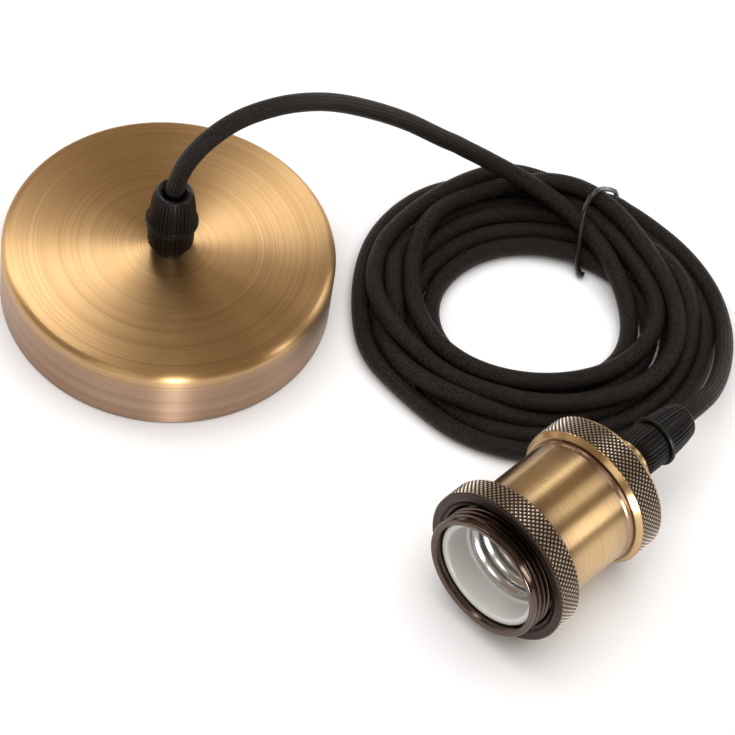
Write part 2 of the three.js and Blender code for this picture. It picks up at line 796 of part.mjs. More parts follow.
function holderWires(group) {
  const targets = [
    ['holder_wire_live', -terminalOffset, brownWire],
    ['holder_wire_neutral', terminalOffset, blueWire],
  ];
  for (const [name, x, finish] of targets) {
    const startX = Math.sign(x) * wireSpread;
    const route = [
      [startX, glandFootY - seatGap, 0.7 * wireRadius],
      [startX * 1.3, glandFootY - 3.3 * wireRadius, 0.6 * wireRadius],
      [x * 0.6, (glandFootY + terminalBack) / 2, wireHoleZ / 2],
      [x, terminalBack + 2.5 * wireRadius, wireHoleZ],
      [x, clampY - 1.3 * wireRadius, wireHoleZ],
    ];
    group.add(mesh(name, tube(route, wireRadius, 6, 12), finish));
  }
  const bend = glandFootY - 4 * wireRadius;
  const earth = [
    [0, glandFootY - seatGap, -wireSpread],
    [0, glandFootY - 2.2 * wireRadius, -1.07 * wireSpread],
    [0, bend + 0.2 * wireRadius, (2 * tagZ - wireSpread) / 5],
    [0, bend, (tagZ - wireSpread) * 0.56],
    [0, bend + 1.1 * wireRadius, tagZ + wireRadius + seatGap],
    [0, bend + 2.9 * wireRadius, tagZ + wireRadius + seatGap],
  ];
  group.add(mesh('holder_wire_earth', tube(earth, wireRadius, 6, 12), greenWire));
}

// Earth tag: a ring under the locknut with a tab bent down past the nut's flat
function earthTag() {
  const top = bossBack - capFloor - 2 * seatGap - washerThickness;
  const eye = ring(washerRadius, shankRadius + threadGap, top - earthTagThickness, top);
  const tab = block(earthTagWidth, earthTagLength, earthTagThickness, 0, -earthTagLength / 2, 0);
  return joined(eye, tab.translate(0, top, tagZ - earthTagThickness / 2));
}

// Both rings lie on the floor, so the axis falls a little towards the smaller cap ring
const ringSpacing = capRingFront + capRingWidth - shadeRingWidth;
const holderTilt = -Math.atan((shadeRingRadius - capRingRadius) / ringSpacing);
const holderZ = shadeRingRadius * Math.cos(holderTilt) - shadeRingWidth * Math.sin(holderTilt);

function holderPoint(along) {
  return [holderX, holderY + along * Math.cos(holderTilt), holderZ + along * Math.sin(holderTilt)];
}

function holderAssembly() {
  const group = new THREE.Group();
  group.position.set(holderX, holderY, holderZ);
  group.rotation.x = holderTilt;
  group.add(
    mesh('threaded_skirt', threadedSkirt(), darkBronze),
    mesh('shade_ring', shadeRing(), darkBronze),
    mesh('holder_sleeve', holderSleeve(), agedBrass),
    mesh('holder_cap', holderCap(), agedBrass),
    mesh('porcelain_insert', porcelainInsert(), porcelain),
    mesh('screw_shell', screwShell(), shellSheet),
    mesh('centre_contact', centreContact(), brightBrass),
    mesh('side_contact', sideContact(), brightBrass),
    mesh('live_contact_screw', contactScrew(-terminalOffset), brightBrass),
    mesh('neutral_contact_screw', contactScrew(terminalOffset), brightBrass),
    mesh('earth_tag', earthTag(), brightBrass),
    mesh('terminal_live', holderTerminal(-terminalOffset), brightBrass),
    mesh('terminal_neutral', holderTerminal(terminalOffset), brightBrass),
    mesh('terminal_live_screw', holderTerminalScrew(-terminalOffset), zincSteel),
    mesh('terminal_neutral_screw', holderTerminalScrew(terminalOffset), zincSteel),
  );
  holderWires(group);
  const holderGland = gland('holder', capFloor, earthTagThickness + seatGap);
  holderGland.position.y = bossBack;
  group.add(holderGland);
  return group;
}

// Outline of the coil's section, pulled in by an inset
function coilSection(inset) {
  const outer = coilOuterRadius - inset;
  const inner = coilInnerRadius + inset;
  const top = coilHeight - inset;
  const corner = coilCorner - inset;
  return [
    ...arc(inner + corner, inset + corner, corner, 180, 270, 2),
    ...arc(outer - corner, inset + corner, corner, 270, 360, 2),
    ...arc(outer - corner, top - corner, corner, 0, 90, 2),
    ...arc(inner + corner, top - corner, corner, 90, 180, 2),
  ];
}

// The coil's outer shape: a ring with a groove where the tie draws the turns together
function cordCoil() {
  const whole = asSolid(turned(coilSection(0), 48));
  const core = asSolid(turned(coilSection(2 * tieRadius + grooveGap), 48));
  const grooveWidth = 2 * (tieEndSpread + tieRadius + seatGap);
  const reach = 2 * coilOuterRadius;
  const slab = block(reach, 4 * coilHeight, grooveWidth, reach / 2, 0, 0);
  const groove = asSolid(slab.rotateY(THREE.MathUtils.degToRad(tieAngle))).subtract(core);
  return asGeometry(whole.subtract(groove)).rotateX(Math.PI / 2);
}

// Wire tie: once round the turns, its two ends standing up side by side at the inside
function coilTie() {
  const section = coilSection(tieRadius);
  const loop = section.map((_, i) => {
    const [along, height] = section[(2 * section.length - 3 - i) % section.length];
    return [along, tieEndSpread * (1 - 2 * i / (section.length - 1)), height];
  });
  const endZ = coilHeight + tieEndHeight;
  const route = [
    [coilInnerRadius + tieRadius, tieEndSpread, endZ],
    ...loop,
    [coilInnerRadius + tieRadius, -tieEndSpread, endZ],
  ];
  return tube(route, tieRadius, 6, 40, 'catmullrom').rotateZ(THREE.MathUtils.degToRad(tieAngle));
}

function cordAssembly() {
  const group = new THREE.Group();
  const coil = mesh('cord_coil', cordCoil(), blackTextile);
  const tie = mesh('coil_tie', coilTie(), blackPlastic);
  for (const piece of [coil, tie]) {
    piece.position.set(coilX, coilY, 0);
    group.add(piece);
  }
  const roseEntry = roseHeight - shankLength + 2 * wireRadius;
  const lead = [[0, 0, roseEntry], [0, 0, roseHeight + glandMouth], ...leadRoute];
  const holderMouth = bossBack + glandMouth;
  const holderEntry = bossBack - shankLength + 2 * wireRadius;
  const tail = [...tailRoute, holderPoint(holderMouth), holderPoint(holderEntry)];
  group.add(
    mesh('cord_lead', tube(lead, cordRadius, 8, 40), blackTextile),
    mesh('cord_tail', tube(tail, cordRadius, 8, 26), blackTextile),
  );
  return group;
}

// The rigid pieces stand centred on the origin
const part = new THREE.Group();
const rigid = new THREE.Group();
rigid.add(roseAssembly(), holderAssembly());
part.add(rigid, cordAssembly());
part.updateMatrixWorld(true);
const middle = new THREE.Box3().setFromObject(rigid, true).getCenter(new THREE.Vector3());
part.position.set(-middle.x, -middle.y, 0);

export default part;
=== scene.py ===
import math
import bmesh
import bpy
import numpy as np
from mathutils import Matrix, Vector


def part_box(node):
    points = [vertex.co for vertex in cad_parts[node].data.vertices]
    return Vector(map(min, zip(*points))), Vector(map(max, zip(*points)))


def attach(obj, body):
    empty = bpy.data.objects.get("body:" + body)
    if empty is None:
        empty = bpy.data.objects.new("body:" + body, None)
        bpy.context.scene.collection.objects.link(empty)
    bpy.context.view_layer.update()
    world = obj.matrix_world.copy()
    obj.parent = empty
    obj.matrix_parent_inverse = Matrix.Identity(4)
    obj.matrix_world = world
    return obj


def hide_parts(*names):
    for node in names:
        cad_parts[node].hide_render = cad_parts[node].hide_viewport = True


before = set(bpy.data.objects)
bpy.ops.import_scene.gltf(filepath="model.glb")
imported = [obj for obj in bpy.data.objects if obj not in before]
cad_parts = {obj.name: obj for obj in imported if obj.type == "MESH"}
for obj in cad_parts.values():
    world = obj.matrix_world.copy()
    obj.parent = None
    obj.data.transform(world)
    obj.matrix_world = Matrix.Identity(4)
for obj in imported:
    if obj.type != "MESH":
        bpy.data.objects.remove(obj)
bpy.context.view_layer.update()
print("frame loaded")

mm = 0.001
samePoint = 1e-6  # points closer than this, in metres, are joined
roseLow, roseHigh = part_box("ceiling_rose")
rosePlace = Matrix.Translation(((roseLow.x + roseHigh.x) / 2, (roseLow.y + roseHigh.y) / 2, 0))
# the middle of the holder's ring from the rose's centre, in metres, and the tilt of its axis
holderStand = {"middle": (0.1448, -0.0125, 0.02443), "tilt": -3.013}
holderPlace = (rosePlace @ Matrix.Translation(holderStand["middle"])
               @ Matrix.Rotation(math.radians(holderStand["tilt"]) - math.pi / 2, 4, "X"))


# camera, floor and lamps

view = {"place": (0.38564, -0.41856, 0.71483), "turn": 36.157, "height": 52.452, "roll": 10.067,
        "lens": 146.94, "sensor": 36, "farthest": 20}
bpy.ops.object.camera_add()
camera = bpy.context.object
camera.name = "camera"
camera.matrix_world = (rosePlace @ Matrix.Translation(view["place"])
                       @ Matrix.Rotation(math.radians(view["turn"]), 4, "Z")
                       @ Matrix.Rotation(math.radians(90 - view["height"]), 4, "X")
                       @ Matrix.Rotation(math.radians(view["roll"]), 4, "Z"))
camera.data.lens = view["lens"]
camera.data.sensor_width = view["sensor"]
camera.data.clip_end = view["farthest"]
bpy.context.scene.camera = camera


def newMaterial(name):
    material = bpy.data.materials.new(name)
    material.use_nodes = True
    return material, material.node_tree, material.node_tree.nodes["Principled BSDF"]


def addNode(tree, kind, **settings):
    node = tree.nodes.new(kind)
    for key, value in settings.items():
        setattr(node, key, value)
    return node


def addLamp(name, place, aim, size, power, lights):
    # lights: "all", "matt" for a lamp that metal doesn't mirror, "gloss" for one that only metal mirrors
    bpy.ops.object.light_add(type="AREA", location=place)
    lamp = bpy.context.object
    lamp.name = name
    lamp.data.shape = "RECTANGLE"
    lamp.data.size, lamp.data.size_y = size
    lamp.data.energy = power
    lamp.rotation_euler = (Vector(aim) - Vector(place)).to_track_quat("-Z", "Y").to_euler()
    lamp.visible_glossy = lights != "matt"
    lamp.visible_diffuse = lights != "gloss"


studio = {"floor": 3.0, "floorLevel": -0.0004, "floorTone": (0.86, 0.88, 0.91), "floorRoughness": 0.9,
          "floorShine": 0.1, "sky": 0.3, "skyTone": (1, 0.78, 0.58)}
bpy.ops.mesh.primitive_plane_add(size=studio["floor"], location=(0, 0, studio["floorLevel"]))
floor = bpy.context.object
floor.name = "floor"
floorMaterial, tree, surface = newMaterial("pale floor")
surface.inputs["Base Color"].default_value = (*studio["floorTone"], 1)
surface.inputs["Roughness"].default_value = studio["floorRoughness"]
surface.inputs["Specular IOR Level"].default_value = studio["floorShine"]
floor.data.materials.append(floorMaterial)

world = bpy.data.worlds.new("studio")
bpy.context.scene.world = world
world.use_nodes = True
sky = world.node_tree.nodes["Background"]
sky.inputs["Color"].default_value = (*studio["skyTone"], 1)
sky.inputs["Strength"].default_value = studio["sky"]

# place, aim, size, power in watts and what the lamp lights
lamps = {
    "ceiling panel": ((0.05, 0.1, 1.5), (0.05, 0.1, 0), (2.2, 2.2), 36, "matt"),
    "window": ((-0.7, 0.24, 1.07), (-0.03, 0, 0), (0.3, 0.46), 2.5, "gloss"),
    "window side": ((-1.1, -0.2, 0.75), (0, 0, 0), (0.5, 0.6), 3, "all"),
    "right strip": ((0.9, 0.5, 0.5), (0.09, 0.02, 0.02), (0.16, 0.5), 1.6, "gloss"),
    "back light": ((-0.5, 0.95, 0.7), (0.02, 0, 0), (0.22, 0.3), 1.0, "gloss"),
    "back panel": ((0.3, 1.0, 0.78), (0.05, 0, 0), (0.4, 0.4), 1.7, "gloss"),
    "low strip": ((0.72, -0.62, 0.12), (-0.05, 0, 0.01), (0.12, 0.3), 5, "gloss"),
    "front fill": ((0.3, -1.1, 0.8), (0, 0, 0), (0.6, 0.4), 1.5, "all"),
}
for name, row in lamps.items():
    addLamp(name, *row)
bpy.context.scene.view_settings.view_transform = "Standard"
print("camera, floor and lamps")


# modelling helpers: everything turned is drawn round Z at the origin and then put in its place

def deselectAll():
    if bpy.context.mode != "OBJECT":
        bpy.ops.object.mode_set(mode="OBJECT")
    bpy.ops.object.select_all(action="DESELECT")


def selectVerts(piece, chosen):
    mesh = bmesh.from_edit_mesh(piece.data)
    for vert in mesh.verts:
        vert.select = bool(chosen(vert))
    mesh.select_flush_mode()
    bmesh.update_edit_mesh(piece.data)


def drawOutline(name, outline):
    # a plane merged to one point, which is then extruded along the outline
    deselectAll()
    bpy.ops.mesh.primitive_plane_add(size=0.002)
    piece = bpy.context.object
    piece.name = piece.data.name = name
    bpy.ops.object.mode_set(mode="EDIT")
    bpy.ops.mesh.select_mode(type="VERT")
    bpy.ops.mesh.select_all(action="SELECT")
    bpy.ops.mesh.merge(type="CENTER")
    bpy.ops.transform.translate(value=(outline[0][0] * mm, 0, outline[0][1] * mm))
    for (r0, z0), (r1, z1) in zip(outline, outline[1:]):
        bpy.ops.mesh.extrude_region_move(TRANSFORM_OT_translate={"value": ((r1 - r0) * mm, 0, (z1 - z0) * mm)})
    return piece


def turnOutline(name, outline, steps, closed=True):
    piece = drawOutline(name, outline)
    if closed:
        ends = [Vector((r * mm, 0, z * mm)) for r, z in (outline[0], outline[-1])]
        selectVerts(piece, lambda vert: any((vert.co - end).length < 0.1 * samePoint for end in ends))
        bpy.ops.mesh.edge_face_add()
    bpy.ops.mesh.select_all(action="SELECT")
    bpy.ops.mesh.spin(steps=steps, angle=2 * math.pi, center=(0, 0, 0), axis=(0, 0, 1))
    bpy.ops.mesh.select_all(action="SELECT")
    bpy.ops.mesh.remove_doubles(threshold=samePoint)
    bpy.ops.mesh.normals_make_consistent(inside=False)
    return piece


def columnOf(vert, steps):
    return round(math.atan2(vert.co.y, vert.co.x) / (2 * math.pi) * steps) % steps


def pushColumns(piece, steps, chosen, ratio):
    # moves some columns of a turned surface in towards the axis or out from it
    selectVerts(piece, lambda vert: chosen(vert.co.xy.length / mm, vert.co.z / mm, columnOf(vert, steps)))
    bpy.ops.transform.resize(value=(ratio, ratio, 1), center_override=(0, 0, 0))


def finishPiece(piece, place, material, node, angle):
    deselectAll()
    piece.select_set(True)
    bpy.context.view_layer.objects.active = piece
    layTurnMap(piece)
    bpy.ops.object.shade_smooth_by_angle(angle=math.radians(angle))
    piece.matrix_world = place
    bpy.ops.object.transform_apply(location=True, rotation=True, scale=True)
    piece.data.materials.clear()
    piece.data.materials.append(material)
    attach(piece, "root")
    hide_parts(node)


def layTurnMap(piece):
    # u runs once round the axis, v is the distance along and across it in steps of mapStep
    mapStep = 0.1
    mesh = piece.data
    layer = mesh.uv_layers.get("turn") or mesh.uv_layers.new(name="turn")
    mesh.uv_layers.active = layer
    points = np.zeros(len(mesh.vertices) * 3)
    mesh.vertices.foreach_get("co", points)
    points = points.reshape(-1, 3)
    corners = np.zeros(len(mesh.loops), int)
    mesh.loops.foreach_get("vertex_index", corners)
    u = (np.arctan2(points[:, 1], points[:, 0]) / (2 * math.pi))[corners]
    faceOfCorner = np.zeros(len(mesh.loops), int)
    for polygon in mesh.polygons:
        faceOfCorner[polygon.loop_start:polygon.loop_start + polygon.loop_total] = polygon.index
    # faces across the seam, where u jumps by a whole turn, go on past it
    highest = np.full(len(mesh.polygons), -np.inf)
    np.maximum.at(highest, faceOfCorner, u)
    u = np.where(highest[faceOfCorner] - u > 0.5, u + 1, u)
    v = (np.hypot(points[:, 0], points[:, 1]) + points[:, 2])[corners] / mapStep
    layer.data.foreach_set("uv", np.stack([u, v], 1).ravel())


def roundCorner(x, y, radius, start, end, steps=4):
    turn = [math.radians(start + (end - start) * i / steps) for i in range(steps + 1)]
    return [(x + radius * math.cos(a), y + radius * math.sin(a)) for a in turn]


# finishes

def wireGroup(name, inputs, outputs):
    group = bpy.data.node_groups.new(name, "ShaderNodeTree")
    for label, kind, value in inputs:
        socket = group.interface.new_socket(label, in_out="INPUT", socket_type=kind)
        if value is not None:
            socket.default_value = value
    for label, kind in outputs:
        group.interface.new_socket(label, in_out="OUTPUT", socket_type=kind)
    return group, addNode(group, "NodeGroupInput"), addNode(group, "NodeGroupOutput")


def feed(tree, socket, value):
    # value is a number or the output of another node
    if isinstance(value, (int, float)):
        socket.default_value = value
    else:
        tree.links.new(value, socket)


def mathNode(tree, operation, *values):
    node = addNode(tree, "ShaderNodeMath", operation=operation)
    for socket, value in zip(node.inputs, values):
        feed(tree, socket, value)
    return node.outputs[0]


def noiseNode(tree, vector, scale, detail):
    noise = addNode(tree, "ShaderNodeTexNoise")
    for label, value in (("Vector", vector), ("Scale", scale), ("Detail", detail)):
        feed(tree, noise.inputs[label], value)
    return noise.outputs["Fac"]


def splitVector(tree, vector):
    parts = addNode(tree, "ShaderNodeSeparateXYZ")
    tree.links.new(vector, parts.inputs[0])
    return parts.outputs


def fromAxis(tree, x, y):
    squares = [mathNode(tree, "MULTIPLY", part, part) for part in (x, y)]
    return mathNode(tree, "SQRT", mathNode(tree, "ADD", *squares))


# how fast the lines change across and along themselves, and how fine they are
brushLines = {"Lines": (1500, 9, 3), "Bands": (260, 5, 2)}
brushPatches = {"scale": 38, "detail": 3}


def brushGroup():
    # fine lines that run round a turned piece, with broader bands and a soft patchiness
    group, given, result = wireGroup(
        "brushed metal",
        [("Place", "NodeSocketVector", None), ("Line Size", "NodeSocketFloat", 1.0)],
        [("Lines", "NodeSocketFloat"), ("Bands", "NodeSocketFloat"), ("Patches", "NodeSocketFloat")])
    place = given.outputs["Place"]
    x, y, z = splitVector(group, place)
    across = mathNode(group, "DIVIDE", mathNode(group, "ADD", fromAxis(group, x, y), z), given.outputs["Line Size"])
    for label, (fine, slow, detail) in brushLines.items():
        vector = addNode(group, "ShaderNodeCombineXYZ")
        for source, much, target in zip((across, x, y), (fine, slow, slow), vector.inputs):
            group.links.new(mathNode(group, "MULTIPLY", source, much), target)
        group.links.new(noiseNode(group, vector.outputs[0], 1, detail), result.inputs[label])
    patches = noiseNode(group, place, brushPatches["scale"], brushPatches["detail"])
    group.links.new(patches, result.inputs["Patches"])
    return group


brushedMetalGroup = brushGroup()


def centredPlace(tree, place):
    # Object coordinates, moved and turned so that Z is the piece's own axis
    coordinates = addNode(tree, "ShaderNodeTexCoord")
    mapping = addNode(tree, "ShaderNodeMapping")
    back = place.inverted()
    mapping.inputs["Location"].default_value = back.to_translation()
    mapping.inputs["Rotation"].default_value = back.to_euler()
    tree.links.new(coordinates.outputs["Object"], mapping.inputs["Vector"])
    return mapping.outputs["Vector"]


def rampNode(tree, source, stops):
    ramp = addNode(tree, "ShaderNodeValToRGB")
    while len(ramp.color_ramp.elements) < len(stops):
        ramp.color_ramp.elements.new(0.5)
    for element, (position, colour) in zip(ramp.color_ramp.elements, stops):
        element.position = position
        element.color = tuple(colour) + (1,)
    tree.links.new(source, ramp.inputs["Fac"])
    return ramp.outputs["Color"]


def remap(tree, source, low, high, toLow, toHigh):
    node = addNode(tree, "ShaderNodeMapRange")
    for socket, value in zip(node.inputs, (source, low, high, toLow, toHigh)):
        feed(tree, socket, value)
    return node.outputs[0]


def bumpInto(tree, surface, height, strength, distance):
    bump = addNode(tree, "ShaderNodeBump")
    bump.inputs["Strength"].default_value = strength
    bump.inputs["Distance"].default_value = distance
    tree.links.new(height, bump.inputs["Height"])
    tree.links.new(bump.outputs["Normal"], surface.inputs["Normal"])


noiseSpan = (0.3, 0.7)  # nearly all of a noise texture's values lie in it
brushFacts = {"lines": 0.75, "bands": 0.25, "bump": 0.2, "uneven": 0.12, "turned": 0.25}


def brushedFinish(name, place, tones, roughness, swirl, lineSize=1.0, relief=0.00003, zones=None, dark=None):
    # zones are shares of the dark tones, which are painted shade, at heights along the axis
    material, tree, surface = newMaterial(name)
    brushed = addNode(tree, "ShaderNodeGroup", node_tree=brushedMetalGroup)
    brushed.inputs["Line Size"].default_value = lineSize
    centred = centredPlace(tree, place)
    tree.links.new(centred, brushed.inputs["Place"])
    mixed = mathNode(tree, "ADD", mathNode(tree, "MULTIPLY", brushed.outputs["Lines"], brushFacts["lines"]),
                     mathNode(tree, "MULTIPLY", brushed.outputs["Bands"], brushFacts["bands"]))
    colour = rampNode(tree, mixed, tones)
    if zones:
        low, high = zones[0][0], zones[-1][0]
        share = rampNode(tree, remap(tree, splitVector(tree, centred)[2], low * mm, high * mm, 0, 1),
                         [((z - low) / (high - low), (much,) * 3) for z, much in zones])
        pick = addNode(tree, "ShaderNodeMix", data_type="RGBA")
        tree.links.new(share, pick.inputs[0])
        tree.links.new(colour, pick.inputs[6])
        tree.links.new(rampNode(tree, mixed, dark), pick.inputs[7])
        colour = pick.outputs[2]
    tree.links.new(colour, surface.inputs["Base Color"])
    spread = roughness * brushFacts["uneven"]
    tree.links.new(remap(tree, brushed.outputs["Patches"], *noiseSpan, roughness - spread, roughness + spread),
                   surface.inputs["Roughness"])
    surface.inputs["Metallic"].default_value = 1
    surface.inputs["Anisotropic"].default_value = swirl
    surface.inputs["Anisotropic Rotation"].default_value = brushFacts["turned"]
    tangent = addNode(tree, "ShaderNodeTangent", direction_type="UV_MAP", uv_map="turn")
    tree.links.new(tangent.outputs[0], surface.inputs["Tangent"])
    bumpInto(tree, surface, brushed.outputs["Lines"], brushFacts["bump"], relief)
    return material


brassTones = [(0.3, (0.50, 0.31, 0.14)), (0.5, (0.61, 0.395, 0.19)), (0.7, (0.70, 0.475, 0.245))]
roseSideShadeTones = [(0.3, (0.30, 0.19, 0.125)), (0.5, (0.38, 0.25, 0.17)), (0.7, (0.46, 0.31, 0.21))]
sleeveTones = [(0.3, (0.54, 0.37, 0.18)), (0.5, (0.60, 0.415, 0.21)), (0.7, (0.66, 0.46, 0.24))]
sleeveEndShadeTones = [(0.3, (0.22, 0.15, 0.11)), (0.5, (0.28, 0.19, 0.14)), (0.7, (0.35, 0.245, 0.18))]
bronzeTones = [(0.3, (0.036, 0.026, 0.021)), (0.5, (0.055, 0.040, 0.032)), (0.75, (0.08, 0.06, 0.05))]
skirtTones = [(0.3, (0.075, 0.052, 0.041)), (0.5, (0.115, 0.082, 0.065)), (0.75, (0.18, 0.133, 0.108))]
# the side wall and the start of its rounded edge take darker tones than the top: painted shade
roseBrass = brushedFinish("brushed rose brass", rosePlace, brassTones, 0.36, 0.9, lineSize=0.8, dark=roseSideShadeTones,
                          zones=[(0, 1), (15, 1), (20.4, 0), (22, 0)])
# the sleeve gets darker towards both ends, next to the rings: painted shade
sleeveBrass = brushedFinish("brushed sleeve brass", holderPlace, sleeveTones, 0.3, 0.75, relief=0.000006,
                            dark=sleeveEndShadeTones, zones=[(8.2, 0.9), (12.5, 0.25), (17, 0), (26, 0), (31, 0.25),
                                                   (35.4, 0.9), (35.8, 0), (60, 0)])
ringBronze = brushedFinish("dark bronze", holderPlace, bronzeTones, 0.36, 0.4)
skirtBronze = brushedFinish("dark bronze thread", holderPlace, skirtTones, 0.17, 0.3)


# near white on the crests: painted glint; near black in the grooves: patina and painted shade
knurlPatinaShadeGlintTones = [(0.1, (0.04, 0.029, 0.021)), (0.4, (0.22, 0.17, 0.13)), (0.65, (0.75, 0.65, 0.53)),
              (1, (1, 0.95, 0.86))]
knurlRoughness = 0.3


def knurlGroup():
    # 0 in the grooves of a knurl and 1 on its crests, told apart by their distance from the axis
    group, given, result = wireGroup(
        "knurl crests",
        [("Place", "NodeSocketVector", None), ("Groove", "NodeSocketFloat", 0.0), ("Crest", "NodeSocketFloat", 1.0)],
        [("Rise", "NodeSocketFloat")])
    reach = fromAxis(group, *splitVector(group, given.outputs["Place"])[:2])
    rise = remap(group, reach, given.outputs["Groove"], given.outputs["Crest"], 0, 1)
    group.links.new(rise, result.inputs["Rise"])
    return group


knurlCrestsGroup = knurlGroup()


def knurledFinish(name, place, radius, depth):
    # pale on the crests as a painted glint, and dark in the grooves as patina and painted shade
    material, tree, surface = newMaterial(name)
    knurl = addNode(tree, "ShaderNodeGroup", node_tree=knurlCrestsGroup)
    tree.links.new(centredPlace(tree, place), knurl.inputs["Place"])
    knurl.inputs["Groove"].default_value = (radius - depth) * mm
    knurl.inputs["Crest"].default_value = radius * mm
    tree.links.new(rampNode(tree, knurl.outputs["Rise"], knurlPatinaShadeGlintTones), surface.inputs["Base Color"])
    surface.inputs["Metallic"].default_value = 1
    surface.inputs["Roughness"].default_value = knurlRoughness
    return material


def grainGroup():
    # a faint grain that stays with the piece
    group, given, result = wireGroup(
        "fine grain",
        [("Grain", "NodeSocketFloat", 600.0), ("Detail", "NodeSocketFloat", 4.0)],
        [("Value", "NodeSocketFloat")])
    coordinates = addNode(group, "ShaderNodeTexCoord")
    value = noiseNode(group, coordinates.outputs["Object"], given.outputs["Grain"], given.outputs["Detail"])
    group.links.new(value, result.inputs["Value"])
    return group


fineGrainGroup = grainGroup()


def grainNode(tree, grain, detail):
    node = addNode(tree, "ShaderNodeGroup", node_tree=fineGrainGroup)
    node.inputs["Grain"].default_value = grain
    node.inputs["Detail"].default_value = detail
    return node.outputs["Value"]


mouldFacts = {"detail": 4, "uneven": 0.15, "coatRoughness": 0.15, "bump": 0.3}


def mouldedFinish(name, colour, roughness, grain, relief, metallic=0.0, coat=0.0, swing=0.12, shine=0.5):
    # moulded plastic, porcelain, plated metal: one colour with a faint grain and uneven gloss
    material, tree, surface = newMaterial(name)
    noise = grainNode(tree, grain, mouldFacts["detail"])
    low, high = noiseSpan
    tones = [(low, [c * (1 - swing) for c in colour]), (high, [min(c * (1 + swing), 1) for c in colour])]
    tree.links.new(rampNode(tree, noise, tones), surface.inputs["Base Color"])
    spread = roughness * mouldFacts["uneven"]
    tree.links.new(remap(tree, noise, low, high, roughness - spread, roughness + spread), surface.inputs["Roughness"])
    surface.inputs["Metallic"].default_value = metallic
    surface.inputs["Specular IOR Level"].default_value = shine
    surface.inputs["Coat Weight"].default_value = coat
    surface.inputs["Coat Roughness"].default_value = mouldFacts["coatRoughness"]
    bumpInto(tree, surface, noise, mouldFacts["bump"], relief)
    return material


blackPlastic = mouldedFinish("black moulded plastic", (0.004, 0.0034, 0.0032), 0.4, 900, 0.00001, shine=0.36)
whitePlastic = mouldedFinish("white moulded plastic", (0.82, 0.81, 0.77), 0.45, 700, 0.00003)
porcelainWhite = mouldedFinish("white porcelain", (0.66, 0.67, 0.655), 0.32, 1500, 0.000004, coat=0.2, swing=0.015)
shellSheet = mouldedFinish("rolled shell sheet", (0.66, 0.66, 0.65), 0.24, 600, 0.000004, metallic=1, swing=0.04)
zincSteel = mouldedFinish("zinc plated steel", (0.62, 0.63, 0.64), 0.34, 600, 0.00003, metallic=1)
brightBrass = mouldedFinish("bare brass", (0.78, 0.58, 0.27), 0.3, 600, 0.00003, metallic=1)
brownWire = mouldedFinish("brown insulation", (0.16, 0.06, 0.025), 0.4, 500, 0.00002)
blueWire = mouldedFinish("blue insulation", (0.03, 0.09, 0.42), 0.4, 500, 0.00002)
greenWire = mouldedFinish("green insulation", (0.16, 0.36, 0.04), 0.4, 500, 0.00002)
tieBlack = mouldedFinish("black tie coating", (0.006, 0.0055, 0.0052), 0.3, 700, 0.00002, coat=0.3)


def braidGroup():
    # two crossing sets of threads; the set on top changes like a chequerboard
    group, given, result = wireGroup(
        "textile braid",
        [("Along", "NodeSocketFloat", 0.0), ("Around", "NodeSocketFloat", 0.0)],
        [("Height", "NodeSocketFloat")])
    along, around = given.outputs["Along"], given.outputs["Around"]
    a, b = mathNode(group, "ADD", along, around), mathNode(group, "SUBTRACT", along, around)
    crossed = mathNode(group, "ADD", mathNode(group, "FLOOR", a), mathNode(group, "FLOOR", b))
    pick = addNode(group, "ShaderNodeMix", data_type="FLOAT")
    group.links.new(mathNode(group, "PINGPONG", crossed, 1.0), pick.inputs[0])
    for thread, target in ((a, pick.inputs[2]), (b, pick.inputs[3])):
        # round across its width: 1 in the middle, 0 at both edges
        off = mathNode(group, "SUBTRACT", mathNode(group, "FRACT", thread), 0.5)
        fall = mathNode(group, "MULTIPLY", mathNode(group, "MULTIPLY", off, off), 4.0)
        group.links.new(mathNode(group, "SUBTRACT", 1.0, fall), target)
    group.links.new(pick.outputs[0], result.inputs["Height"])
    return group


textileFacts = {
    "grain": 900, "detail": 3, "least": 0.4, "roughness": 0.46, "shine": 0.25, "tint": (1, 0.9, 0.84, 1),
    "bump": 1, "relief": 0.0003,
    "tones": [(0.15, (0.001, 0.0007, 0.0006)), (0.55, (0.0025, 0.002, 0.0017)), (0.92, (0.024, 0.0205, 0.0185))]}


def textileFinish(f):
    material, tree, surface = newMaterial("black textile braid")
    layer = addNode(tree, "ShaderNodeUVMap", uv_map="braid")
    along, around = splitVector(tree, layer.outputs[0])[:2]
    braid = addNode(tree, "ShaderNodeGroup", node_tree=braidGroup())
    tree.links.new(along, braid.inputs["Along"])
    tree.links.new(around, braid.inputs["Around"])
    noise = grainNode(tree, f["grain"], f["detail"])
    mixed = mathNode(tree, "MULTIPLY", braid.outputs["Height"], mathNode(tree, "ADD", noise, f["least"]))
    # the tones follow the height of the threads, lighter on top and darker at their edges: painted highlight and
    # painted shade between the threads
    tree.links.new(rampNode(tree, mixed, f["tones"]), surface.inputs["Base Color"])
    surface.inputs["Roughness"].default_value = f["roughness"]
    surface.inputs["Specular IOR Level"].default_value = f["shine"]
    surface.inputs["Specular Tint"].default_value = f["tint"]
    bumpInto(tree, surface, braid.outputs["Height"], f["bump"], f["relief"])
    return material


textileBraid = textileFinish(textileFacts)
print("finishes")


# the cord

